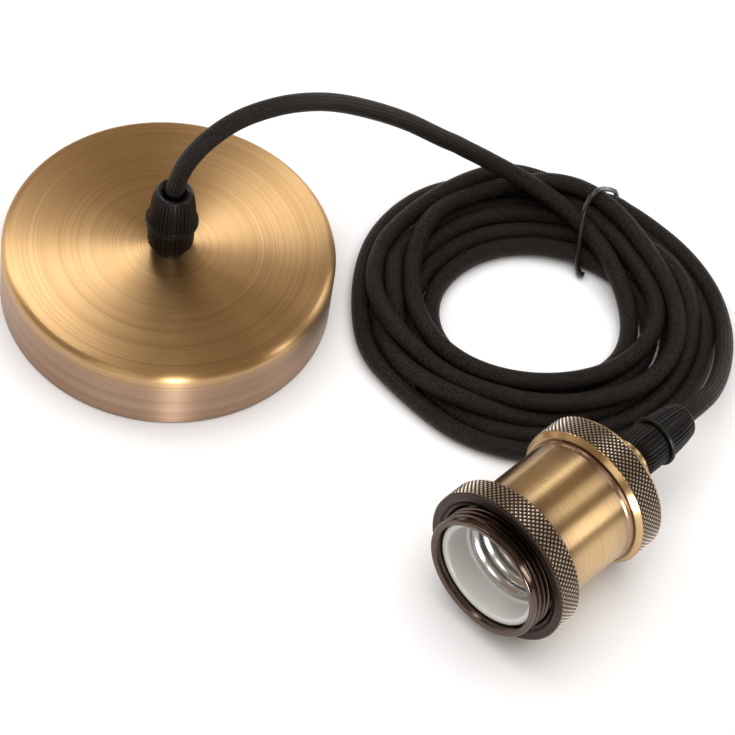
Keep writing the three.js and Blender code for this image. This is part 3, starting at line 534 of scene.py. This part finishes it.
cordFacts = {
    "radius": 2.8, "coilCentre": (82.5, 75.5), "exit": (0, 0, 46.2),
    "fineStep": 1.4, "sides": 20, "threads": 16, "threadPitch": 0.9,
    # laid from the rose's gland to the coil, in millimetres from the rose's centre
    "lead": [(0, 0, 46.2), (0.6, 0.1, 50.2), (2, 1.1, 57.8), (3.9, 4.1, 64.8), (6.2, 9.6, 70.3), (8.6, 16.4, 73.4),
             (11.9, 27.4, 73.3), (13.9, 38.8, 68.7), (15.8, 49.9, 61.9), (19.3, 63.1, 52), (24.1, 74.9, 42.3),
             (30.2, 85.7, 32.1), (36, 94.6, 24.6)],
    # the coil, clockwise: angle round its centre, distance from it, height
    "turns": [
        (147.7, 47.2, 20), (140.8, 44.8, 18), (133, 41.4, 16.8), (120.3, 37.5, 15.8), (107.6, 33.9, 14.6),
        (93.4, 31.3, 13), (79.1, 29.5, 11), (67.8, 29.6, 9), (55.8, 30.1, 6.6), (43.7, 30.6, 4.4),
        (26.9, 31.2, 2.8), (10, 31, 2.8), (0, 29.6, 2.8), (-30, 29, 2.8), (-60, 29.5, 2.8), (-90, 30.8, 2.8),
        (-115, 34.8, 2.8), (-131, 34.2, 2.8), (-146, 31.6, 2.8), (-169, 28.6, 2.8), (-189, 27.8, 2.8),
        (-207, 28.8, 2.8), (-227, 29.6, 2.8), (-250, 28.4, 2.8), (-268, 28.7, 2.8), (-280, 30.9, 2.8),
        (-295, 34.6, 2.8), (-310, 36.8, 2.8), (-328, 37, 2.8), (-360, 35.8, 2.8), (-390, 34.8, 2.8),
        (-420, 35.3, 2.8), (-450, 36.3, 2.8), (-480, 38, 2.8), (-510, 37.2, 2.8), (-525, 36, 2.8),
        (-543, 34.9, 2.8), (-561, 34.8, 2.8), (-577, 35.8, 2.8), (-594, 37.4, 2.8), (-606, 38.2, 2.8),
        (-630, 40, 2.8), (-660, 42, 2.8), (-680, 43.6, 2.8), (-692, 45.2, 2.8), (-706, 45, 3), (-719, 43, 4.2),
        (-735, 42, 5.6), (-747, 41.6, 6.6), (-765, 42.3, 6.8), (-781, 43.2, 6.8), (-803, 44.8, 6.4),
        (-820, 46.2, 5.6), (-832, 47.4, 4.6), (-847, 47, 3.4), (-860, 45.6, 3), (-875, 43.6, 4.2), (-892, 42.4, 6),
        (-906, 41.8, 6.8), (-921, 41.6, 6.8), (-934, 41.8, 6.8), (-951, 42.8, 6.6), (-970, 44.8, 7),
        (-990, 47.6, 7.6), (-1010, 49.6, 8), (-1032, 50.4, 8), (-1050, 50, 7.2), (-1070, 49, 5),
        (-1090, 48.2, 3.2), (-1110, 46.1, 4.3), (-1132, 45.5, 4.3), (-1148, 46.1, 4.3), (-1164, 47.1, 4.3),
        (-1190, 46.5, 4.3), (-1215, 45.1, 4.3), (-1245, 43.3, 4.3), (-1270, 42.3, 4.3), (-1295, 42.3, 4.3),
        (-1320, 44.1, 4.3), (-1350, 49, 2.8), (-1375, 51.5, 2.8), (-1398, 52.5, 2.8), (-1417, 50.8, 2.8),
        (-1440, 49.2, 2.8), (-1470, 49.8, 2.8), (-1491, 51.6, 2.8), (-1501, 50.5, 2.8), (-1520, 48.9, 2.8),
        (-1538, 48.4, 2.8), (-1555, 49, 2.8), (-1570, 50, 2.8), (-1584, 53, 2.8), (-1598, 53.6, 2.8),
        (-1612, 53.8, 2.8), (-1630, 55, 2.8), (-1645, 54.4, 2.8), (-1657, 52.4, 3), (-1668, 49.4, 4.5),
        (-1679, 46, 7), (-1690, 42.4, 8.4), (-1703, 38.8, 8.6), (-1719, 37.6, 8.4), (-1736, 38.8, 8.2),
        (-1750, 39.2, 8), (-1766, 38, 8), (-1784, 34.2, 8.2), (-1806, 30.2, 8.4), (-1838, 28.4, 8.4),
        (-1868, 29.8, 8.4), (-1893, 31.8, 8.4), (-1916, 35.6, 8.2), (-1934, 38.4, 8), (-1955, 42.6, 8),
        (-1972, 46, 8), (-1990, 48.4, 8), (-2006, 49, 8), (-2019, 48.6, 8), (-2035, 47.6, 8), (-2055, 46.2, 8),
        (-2081, 45, 8), (-2100, 44.4, 7.8), (-2118, 44.2, 7.6), (-2133, 43.8, 7.6), (-2150, 43, 7.6),
        (-2176, 39.8, 7.6), (-2195, 36.6, 7.8), (-2219, 35.9, 7.8), (-2241, 38.2, 7.8), (-2261, 41.2, 8.2),
        (-2281, 44.5, 9.6), (-2298, 47.6, 10), (-2311, 50.2, 9), (-2325, 50, 8.6), (-2338, 51, 8.4),
        (-2353, 50.6, 7.6), (-2369, 51, 5.8), (-2383, 52.6, 4), (-2397, 53, 3), (-2415, 52.8, 2.8),
        (-2427, 52.4, 2.8), (-2439, 53.2, 2.8), (-2452, 54.5, 2.8), (-2465, 58.4, 2.8)],
    # laid from the coil up to the lamp holder's gland
    "tail": [(120.2, 120.4, 3.2), (126.2, 115.3, 4.8), (131, 109.1, 6.8), (135, 103.1, 9), (138.5, 96.7, 11.6),
             (141.5, 89.9, 14.4), (143.5, 83.4, 17), (144.4, 77.6, 18.9), (144.8, 69.3, 20.1)],
    # how the laid turns settle: points at both ends that stay, and the shares that each round moves
    "step": 4.0, "apart": 5.72, "rounds": 420, "heldStart": 33, "heldEnd": 12, "neighbours": 2.2,
    "pull": 0.05, "pullFades": 0.8, "sink": 0.05, "straighten": 0.28, "evenOut": 0.2, "overTie": 1.5, "tieSpan": 5,
    # stretches that stay closer to their places: from angle, to angle, how much, and points over which it eases in
    "firm": [(150, 50, 4), (-110, -155, 2), (-240, -300, 2), (-1480, -1620, 3), (-1625, -1715, 3), (-2330, -2460, 3)],
    "firmEases": 4,
    # the turns may rise and sink, but keep their places across this direction
    "sight": (0.3596, -0.4921, 0.7928),
}


# wire tie round the turns: angle round the coil's centre, distance from it, height

tieFacts = {
    "radius": 0.8, "sides": 10, "perSpan": 6, "mapStep": 10, "angle": 103,
    "places": [(92.3, 25.8, 1), (95.4, 25.3, 1.3), (98.8, 25.7, 3), (102.3, 27.8, 7), (105.8, 31, 11.8),
               (108.5, 34.6, 15.4), (109.2, 39.8, 17.2), (108.2, 44.6, 16.8), (107.4, 49.4, 13.6), (107, 53.2, 9.8),
               (106.3, 55.6, 7.6), (105.2, 57.6, 5.2), (104.4, 57.9, 2.6), (104, 56, 1), (103.4, 53, 0.8),
               (103, 46, 0.8), (103, 36, 0.8),
               (101.5, 29, 0.8), (98.5, 26.4, 0.85), (95, 24.8, 1.1), (92.4, 24.7, 2.2)]}


def roundCoil(places):
    cx, cy = cordFacts["coilCentre"]
    return [(cx + r * math.cos(math.radians(a)), cy + r * math.sin(math.radians(a)), z) for a, r, z in places]


def alongLine(line):
    # how far along the line each of its points is
    return np.concatenate([[0], np.cumsum(np.linalg.norm(np.diff(line, axis=0), axis=1))])


def evenly(line, step):
    along = alongLine(line)
    at = np.linspace(0, along[-1], int(round(along[-1] / step)) + 1)
    return np.stack([np.interp(at, along, line[:, k]) for k in range(3)], 1)


def smoothLine(points, perSpan=12):
    # a smooth curve through every point, with no overshoot where they stand unevenly
    p = np.vstack([2 * points[0] - points[1], points, 2 * points[-1] - points[-2]])
    line = []
    for p0, p1, p2, p3 in zip(p, p[1:], p[2:], p[3:]):
        t1 = np.linalg.norm(p1 - p0) ** 0.5
        t2 = t1 + np.linalg.norm(p2 - p1) ** 0.5
        t3 = t2 + np.linalg.norm(p3 - p2) ** 0.5
        t = np.linspace(t1, t2, perSpan, endpoint=False)[:, None]
        a1 = ((t1 - t) * p0 + t * p1) / t1
        a2 = ((t2 - t) * p1 + (t - t1) * p2) / (t2 - t1)
        a3 = ((t3 - t) * p2 + (t - t2) * p3) / (t3 - t2)
        b1 = ((t2 - t) * a1 + t * a2) / t2
        b2 = ((t3 - t) * a2 + (t - t1) * a3) / (t3 - t1)
        line.append(((t2 - t) * b1 + (t - t1) * b2) / (t2 - t1))
    return np.vstack(line + [points[-1][None]])


def settleCord(line, facts):
    # the turns find their places on the floor and on each other, close to where they were laid
    step, apart, rounds = facts["step"], facts["apart"], facts["rounds"]
    target, p = line.copy(), line.copy()
    index = np.arange(len(p))
    cx, cy = facts["coilCentre"]
    angle = np.degrees(np.unwrap(np.arctan2(p[:, 1] - cy, p[:, 0] - cx))) + 360
    hold = np.ones(len(p))
    for start, end, much in facts["firm"]:
        hold[(angle < start) & (angle > end)] = much
    ease = facts["firmEases"]
    hold = np.convolve(np.pad(hold, ease, mode="edge"), np.ones(2 * ease + 1) / (2 * ease + 1), "valid")[:, None]
    sight = np.array(facts["sight"])
    far = np.triu(np.abs(index[:, None] - index[None]) > int(facts["neighbours"] * apart / step) + 1)
    free = (index >= facts["heldStart"]) & (index < len(p) - facts["heldEnd"])
    for k in range(rounds):
        away = target - p
        away -= (away @ sight)[:, None] * sight
        p[free] += (facts["pull"] * (1 - facts["pullFades"] * k / rounds) * hold * away)[free]
        p[free, 2] -= facts["sink"]
        for width in (1, 2):
            bent = np.zeros_like(p)
            bent[width:-width] = (p[2 * width:] + p[:-2 * width]) / 2 - p[width:-width]
            push = facts["straighten"] * bent
            push[width:-width] -= facts["straighten"] / 2 * (bent[2 * width:] + bent[:-2 * width])
            p[free] += push[free]
        for start in (0, 1):
            b = index[start + 1::2]
            a = index[start:-1:2][:len(b)]
            d = p[b] - p[a]
            length = np.linalg.norm(d, axis=1)[:, None]
            change = facts["evenOut"] * (length - step) / length * d
            p[a] += change * free[a][:, None]
            p[b] -= change * free[b][:, None]
        for again in range(2):
            dist = np.sqrt(((p[:, None] - p[None]) ** 2).sum(2))
            i, j = np.nonzero(far & (dist < apart))
            gap = ((apart - dist[i, j]) / np.maximum(dist[i, j], samePoint))[:, None] * (p[i] - p[j])
            move, count = np.zeros_like(p), np.zeros(len(p))
            np.add.at(move, i, 0.5 * gap)
            np.add.at(move, j, -0.5 * gap)
            np.add.at(count, i, 1)
            np.add.at(count, j, 1)
            p[free] += (move / np.maximum(count, 1)[:, None] ** 0.5)[free]
        # the floor, or the tie that runs under the turns
        past = np.degrees(np.arctan2(p[:, 1] - cy, p[:, 0] - cx)) - tieFacts["angle"]
        low = facts["radius"] + np.where(free, facts["overTie"] * np.exp(-(past / facts["tieSpan"]) ** 2), 0)
        p[:, 2] = np.maximum(p[:, 2], low)
    return p


def tubeAlong(name, line, radius, sides, threads, pitch):
    # a round tube on a line, with a map for the braid: u along in thread pitches, v around in threads
    tangents = np.gradient(line, axis=0)
    tangents /= np.linalg.norm(tangents, axis=1)[:, None]
    side = np.cross(tangents[0], (0, 1, 0))
    asides = []
    for tangent in tangents:
        side = side - tangent * side.dot(tangent)
        side /= np.linalg.norm(side)
        asides.append(side)
    asides = np.array(asides)
    ups = np.cross(tangents, asides)
    turn = np.linspace(0, 2 * math.pi, sides, endpoint=False)[None, :, None]
    rings = line[:, None] + radius * (np.cos(turn) * asides[:, None] + np.sin(turn) * ups[:, None])
    faces, maps = [], []
    along = alongLine(line) / pitch
    for i in range(len(line) - 1):
        for j in range(sides):
            k = (j + 1) % sides
            faces.append((i * sides + j, i * sides + k, (i + 1) * sides + k, (i + 1) * sides + j))
            v0, v1 = j / sides * threads, (j + 1) / sides * threads
            maps += [(along[i], v0), (along[i], v1), (along[i + 1], v1), (along[i + 1], v0)]
    mesh = bpy.data.meshes.new(name)
    mesh.from_pydata(rings.reshape(-1, 3).tolist(), [], faces)
    layer = mesh.uv_layers.new(name="braid")
    layer.data.foreach_set("uv", np.array(maps).ravel())
    piece = bpy.data.objects.new(name, mesh)
    bpy.context.collection.objects.link(piece)
    deselectAll()
    piece.select_set(True)
    bpy.context.view_layer.objects.active = piece
    bpy.ops.object.mode_set(mode="EDIT")
    bpy.ops.mesh.select_mode(type="EDGE")
    bpy.ops.mesh.select_all(action="DESELECT")
    bpy.ops.mesh.select_non_manifold()
    bpy.ops.mesh.edge_face_add()
    bpy.ops.mesh.select_all(action="SELECT")
    bpy.ops.mesh.normals_make_consistent(inside=False)
    bpy.ops.object.mode_set(mode="OBJECT")
    bpy.ops.object.shade_smooth()
    return piece


laid = np.array(cordFacts["lead"] + roundCoil(cordFacts["turns"]) + cordFacts["tail"], float)
laid = evenly(smoothLine(laid), cordFacts["step"])
settled = settleCord(laid, cordFacts)
cordLine = evenly(smoothLine(settled, 4), cordFacts["fineStep"])
cordLine[:, 2] = np.maximum(cordLine[:, 2], cordFacts["radius"])
offset = np.array(rosePlace.to_translation())
cordPath = cordLine * mm + offset
cord = tubeAlong("textile_cord", cordPath, cordFacts["radius"] * mm, cordFacts["sides"], cordFacts["threads"],
                 cordFacts["threadPitch"] * mm)
cord.data.materials.append(textileBraid)

tieLine = smoothLine(np.array(roundCoil(tieFacts["places"])), tieFacts["perSpan"])
tie = tubeAlong("cord_tie", tieLine * mm + offset, tieFacts["radius"] * mm, tieFacts["sides"], 1,
                tieFacts["mapStep"] * mm)
tie.data.materials.append(tieBlack)
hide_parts("coil_tie")
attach(tie, "root")
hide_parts("cord_lead", "cord_coil", "cord_tail")
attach(cord, "root")


# ceiling rose

roseFacts = {"radius": 50, "height": 21.5, "wall": 1.2, "edge": 2.6, "hole": 5.2, "rim": 0.15, "levels": (6, 12),
             "flat": 8, "circles": (28, 14), "steps": 240}


def makeRose(f):
    r, h, w, e = f["radius"], f["height"], f["wall"], f["edge"]
    low, high = f["levels"]
    wide, narrow = f["circles"]
    outline = [(r - w, f["rim"]), (r - w + f["rim"], 0), (r - 0.2, 0), (r, 0.2), (r, low), (r, high)]
    outline += roundCorner(r - e, h - e, e, 0, 90, 8)
    outline += [(r - e - f["flat"], h), (wide, h), (narrow, h), (f["hole"], h), (f["hole"], h - w), (narrow, h - w),
                (wide, h - w)]
    outline += roundCorner(r - e, h - e, e - w, 90, 0, 5)
    outline += [(r - w, high), (r - w, low)]
    piece = turnOutline("rose_cup", outline, f["steps"])
    finishPiece(piece, rosePlace, roseBrass, "ceiling_rose", 40)


makeRose(roseFacts)
print("rose")


# cord glands: ribbed barrel, plain rim, ribbed cone with a chamfered mouth

glandFacts = {
    "ribs": 34, "ribColumns": 4, "ribDepth": 0.55, "shank": 4.9, "shankLength": 9, "gap": 0.3, "foot": 5.4,
    "footHeight": 3.2, "barrel": 6.95, "bodyHeight": 10.8, "rim": 7.95, "rimHeight": 1.1, "nut": 7.2, "nutHeight": 13.6,
    "taper": [(0.3, 4), (0.75, 8)], "mouth": 5.5, "chamfer": 0.7, "bore": 3.1,
    # where the glands stand along the axis of the rose and of the holder
    "onRose": 21.5, "onHolder": 56.8}


def sinkRibs(piece, steps, f, radius, chosen):
    # half of each rib's columns go in, between two heights
    between = lambda r, z, c: chosen(r, z) and c % f["ribColumns"] >= f["ribColumns"] / 2
    pushColumns(piece, steps, between, 1 - f["ribDepth"] / radius)


def makeGland(prefix, place, f):
    steps = f["ribColumns"] * f["ribs"]
    bore, foot, barrel, top = f["bore"], f["foot"], f["barrel"], f["bodyHeight"]
    body = [(bore, -f["shankLength"]), (f["shank"], -f["shankLength"]), (f["shank"], f["gap"]), (foot, f["gap"]),
            (foot + 0.2, 0.7), (barrel - 0.2, f["footHeight"] - 0.3), (barrel, f["footHeight"]), (barrel, top - 0.4),
            (barrel - 0.4, top), (bore, top)]
    piece = turnOutline(prefix + "_barrel", body, steps)
    sinkRibs(piece, steps, f, barrel, lambda r, z: r > foot and 0.5 < z < top - 0.1)
    finishPiece(piece, place, blackPlastic, prefix + "_gland_body", 25)

    low = top + f["gap"]
    shoulder = low + f["rimHeight"]
    end = low + f["nutHeight"]
    rim, wide, mouth = f["rim"], f["nut"], f["mouth"]
    nut = [(bore, low), (rim - 0.3, low), (rim, low + 0.3), (rim, shoulder - 0.2), (rim - 0.3, shoulder),
           (wide + 0.1, shoulder), (wide, shoulder + 0.3)]
    nut += [(wide - less, shoulder + up) for less, up in f["taper"]]
    nut += [(mouth + 0.25, end - 1.1), (mouth, end - f["chamfer"]), (mouth - 0.5, end - 0.1), (mouth - 1.0, end),
            (mouth - 1.5, end - 0.2), (bore + 0.2, end - 0.9), (bore, end - 1.2)]
    piece = turnOutline(prefix + "_nut", nut, steps)
    sinkRibs(piece, steps, f, wide, lambda r, z: r > mouth and shoulder + 0.1 < z < end - 0.9)
    finishPiece(piece, place, blackPlastic, prefix + "_gland_nut", 25)


makeGland("rose", rosePlace @ Matrix.Translation((0, 0, glandFacts["onRose"] * mm)), glandFacts)
makeGland("holder", holderPlace @ Matrix.Translation((0, 0, glandFacts["onHolder"] * mm)), glandFacts)
print("glands")


# lamp holder: heights along its axis start at the front of the knurled ring

holderFacts = {
    "ringRadius": 24.1, "ringWidth": 6.9, "ringChamfer": 1.1, "ringFace": 2.6, "ringBack": 3, "gap": 0.3,
    "skirt": 19.1, "skirtWall": 1.9, "skirtSteps": 160, "reach": 6.7, "lip": 1.9, "pitch": 1.7, "thread": 0.75,
    "root": 0.2, "crest": (0.62, 1.08), "sleeve": 19.3, "sleeveWall": 1.2, "sleeveSteps": 200, "sleeveLip": 0.5,
    "lipLength": 1.3, "sleeveEase": 9, "capRadius": 22.1, "capFront": 37.3, "capWidth": 7.6, "capChamfer": 1.6,
    "capWall": 1.4, "neck": 13, "neckRise": 3, "neckCurve": 2.4, "boss": 8.1, "bossStep": 1.4, "bossBack": 56.8,
    "bossLength": 2.2, "bossWall": 2.1, "hole": 5.2, "spigot": 6, "knurlColumn": 0.82, "knurlDepth": 0.4}


def spigotRadius(f):
    return f["sleeve"] - f["sleeveWall"] - f["gap"]


def sleeveEnds(f):
    return f["ringWidth"] + f["ringChamfer"] + f["gap"], f["capFront"] - f["capChamfer"] - f["gap"]


def knurlCounts(f, radius, width):
    # an even number of columns round the band and of rows across it
    return 2 * round(math.pi * radius / f["knurlColumn"]), 2 * round(width / f["knurlColumn"] / 2)


def knurlBand(radius, start, width, rows):
    return [(radius, start + width * i / rows) for i in range(rows + 1)]


def raiseKnurl(piece, steps, radius, start, width, rows, depth):
    # every second point of the band goes in, and edges that join the low points make the grooves
    row = lambda z: round((z - start) / width * rows)
    inBand = lambda r, z: abs(r - radius) < 0.02 and start - 0.01 < z < start + width + 0.01
    pushColumns(piece, steps, lambda r, z, c: inBand(r, z) and (row(z) + c) % 2, 1 - depth / radius)
    bpy.ops.mesh.vert_connect()


ringKnurl = knurledFinish("knurled bronze", holderPlace, holderFacts["ringRadius"], holderFacts["knurlDepth"])
capKnurl = knurledFinish("knurled brass", holderPlace, holderFacts["capRadius"], holderFacts["knurlDepth"])


def paintBand(piece, material, radius, start, end):
    # another finish on the faces beyond a radius, between two heights along the holder
    piece.data.materials.append(material)
    back = holderPlace.inverted()
    for polygon in piece.data.polygons:
        middle = back @ polygon.center / mm
        if middle.xy.length > radius and start < middle.z < end:
            polygon.material_index = len(piece.data.materials) - 1


def makeShadeRing(f):
    radius, width, chamfer = f["ringRadius"], f["ringWidth"], f["ringChamfer"]
    steps, rows = knurlCounts(f, radius, width)
    bore = f["skirt"] + 0.35
    outline = [(bore, 0.5), (bore + 0.5, 0), (bore + 1.2, -0.1), (radius - f["ringFace"], -0.6), (radius - 0.55, -0.6),
               (radius - 0.2, -0.45)]
    outline += knurlBand(radius, 0, width, rows)
    outline += [(radius - 0.3, width + 0.3), (radius - chamfer, width + chamfer), (bore, width + chamfer)]
    piece = turnOutline("knurled_shade_ring", outline, steps)
    raiseKnurl(piece, steps, radius, 0, width, rows, f["knurlDepth"])
    finishPiece(piece, holderPlace, ringBronze, "shade_ring", 18)
    paintBand(piece, ringKnurl, radius - 0.5, -0.05, width + 0.05)
    paintBand(piece, sleeveBrass, f["skirt"] + 1, width + 0.1, width + f["ringBack"])


def makeSkirt(f):
    radius, start, end = f["skirt"], -f["reach"] + f["lip"], f["ringWidth"] + f["ringChamfer"] - 0.1
    inside, root = radius - f["skirtWall"], radius - f["thread"]
    spigot, spigotBack = spigotRadius(f), sleeveEnds(f)[0] + f["spigot"]
    outline = [(inside, -f["reach"] + 0.4)] + roundCorner(radius - 0.5, -f["reach"] + 0.5, 0.5, 260, 360, 4)
    outline += [(radius, start - 0.15)]
    for i in range(int((end - start) / f["pitch"])):
        z = start + (i + 0.5) * f["pitch"]
        outline += [(root, z - f["root"]), (root, z + f["root"])] + [(radius, z + up) for up in f["crest"]]
    outline += [(radius, end), (spigot, end), (spigot, spigotBack), (inside, spigotBack)]
    piece = turnOutline("threaded_mouth", outline, f["skirtSteps"])
    finishPiece(piece, holderPlace, skirtBronze, "threaded_skirt", 30)


def makeSleeve(f):
    front, back = sleeveEnds(f)
    r, lip, long, ease = f["sleeve"], f["sleeve"] + f["sleeveLip"], f["lipLength"], f["sleeveEase"]
    outline = [(r - f["sleeveWall"], front), (lip, front), (lip, front + long - 0.3), (lip - 0.2, front + long),
               (r, front + long + 0.25), (r, front + ease), (r, back - ease), (r, back - long - 0.25),
               (lip - 0.2, back - long), (lip, back - long + 0.3), (lip, back), (r - f["sleeveWall"], back)]
    piece = turnOutline("brass_sleeve", outline, f["sleeveSteps"])
    finishPiece(piece, holderPlace, sleeveBrass, "holder_sleeve", 30)


def makeCap(f):
    radius, start, width, chamfer = f["capRadius"], f["capFront"], f["capWidth"], f["capChamfer"]
    steps, rows = knurlCounts(f, radius, width)
    front, back = start - chamfer, start + width + chamfer
    spigot, neck, boss, bossBack, wall = spigotRadius(f), f["neck"], f["boss"], f["bossBack"], f["capWall"]
    collar, collarBack = boss + f["bossStep"], bossBack - f["bossLength"]
    outline = [(spigot - wall, front - f["spigot"]), (spigot, front - f["spigot"]), (spigot, front),
               (radius - chamfer, front), (radius - 0.25, start - 0.25)]
    outline += knurlBand(radius, start, width, rows)
    outline += [(radius - 0.25, start + width + 0.25), (radius - chamfer, back), (radius - chamfer - 0.8, back + 0.15),
                (neck + f["neckRise"], back + 0.3)]
    outline += roundCorner(neck + f["neckCurve"], back + 0.3 + f["neckCurve"], f["neckCurve"], 270, 180, 5)
    outline += [(collar + 0.3, collarBack - f["bossStep"] - 0.4), (collar, collarBack - f["bossStep"]),
                (collar, collarBack - 0.2), (collar - 0.2, collarBack), (boss, collarBack), (boss, bossBack - 0.4),
                (boss - 0.4, bossBack), (f["hole"], bossBack), (f["hole"], bossBack - f["bossWall"]),
                (boss, bossBack - f["bossWall"]), (neck - wall, back + f["neckRise"] - wall),
                (spigot - wall, back - 2 * wall)]
    piece = turnOutline("knurled_cap", outline, steps)
    raiseKnurl(piece, steps, radius, start, width, rows, f["knurlDepth"])
    finishPiece(piece, holderPlace, sleeveBrass, "holder_cap", 18)
    paintBand(piece, capKnurl, radius - 0.5, start, start + width)


makeShadeRing(holderFacts)
makeSkirt(holderFacts)
makeSleeve(holderFacts)
makeCap(holderFacts)
print("lamp holder")


# porcelain and its screw shell

insertFacts = {
    "outer": 16.9, "mouth": 14.9, "face": 1.1, "front": -4.3, "seat": 14.1, "floor": 23.05, "skirtBack": 14.3,
    "flange": 17.8, "back": 29.4, "steps": 128, "shellFront": 4.6, "pitch": 3.63, "turns": 5, "perTurn": 10,
    "inner": 12.2, "crest": 13.4, "sheet": 0.4, "shellSteps": 96}


def makePorcelain(f):
    outer, mouth, face, front, step = f["outer"], f["mouth"], f["face"], f["front"], f["skirtBack"] + 0.3
    outline = [(0, f["floor"]), (f["seat"], f["floor"]), (f["seat"], f["shellFront"] - 0.3),
               (mouth, f["shellFront"] - 0.8)]
    outline += roundCorner(mouth + face, front + face, face, 180, 270, 6)
    outline += roundCorner(outer - 0.5, front + 0.5, 0.5, 270, 360, 4)
    outline += [(outer, step), (f["flange"], step), (f["flange"], f["back"]), (0, f["back"])]
    piece = turnOutline("porcelain_cup", outline, f["steps"], closed=False)
    finishPiece(piece, holderPlace, porcelainWhite, "porcelain_insert", 40)


def makeShell(f):
    mean, swing, perTurn = (f["inner"] + f["crest"]) / 2, (f["crest"] - f["inner"]) / 2, f["perTurn"]
    inside = [(mean + swing * math.cos(2 * math.pi * i / perTurn), f["shellFront"] + i / perTurn * f["pitch"])
              for i in range(perTurn * f["turns"] + 1)]
    outline = [(r + f["sheet"], z) for r, z in inside] + inside[::-1]
    piece = turnOutline("rolled_shell", outline, f["shellSteps"])
    finishPiece(piece, holderPlace, shellSheet, "screw_shell", 60)


makePorcelain(insertFacts)
makeShell(insertFacts)
print("porcelain and shell")


# the pieces inside keep their solid shape and get their finish

solidFinishes = [
    (brightBrass, ["terminal_tube_1", "terminal_tube_2", "terminal_tube_3", "earth_washer", "earth_screw",
                   "centre_contact", "side_contact", "live_contact_screw", "neutral_contact_screw", "earth_tag",
                   "terminal_live", "terminal_neutral"]),
    (zincSteel, ["mounting_bar", "block_screw", "rose_lock_washer", "rose_locknut", "terminal_screw_1",
                 "terminal_screw_2", "terminal_screw_3", "terminal_screw_4", "terminal_screw_5", "terminal_screw_6",
                 "terminal_live_screw", "terminal_neutral_screw", "holder_lock_washer", "holder_locknut"]),
    (whitePlastic, ["terminal_block", "rose_gland_clamp", "holder_gland_clamp"]),
    (brownWire, ["rose_wire_live", "holder_wire_live"]),
    (blueWire, ["rose_wire_neutral", "holder_wire_neutral"]),
    (greenWire, ["rose_wire_earth", "holder_wire_earth"]),
]
for material, nodes in solidFinishes:
    for node in nodes:
        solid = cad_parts[node]
        solid.data.materials.clear()
        solid.data.materials.append(material)
print("inner pieces")
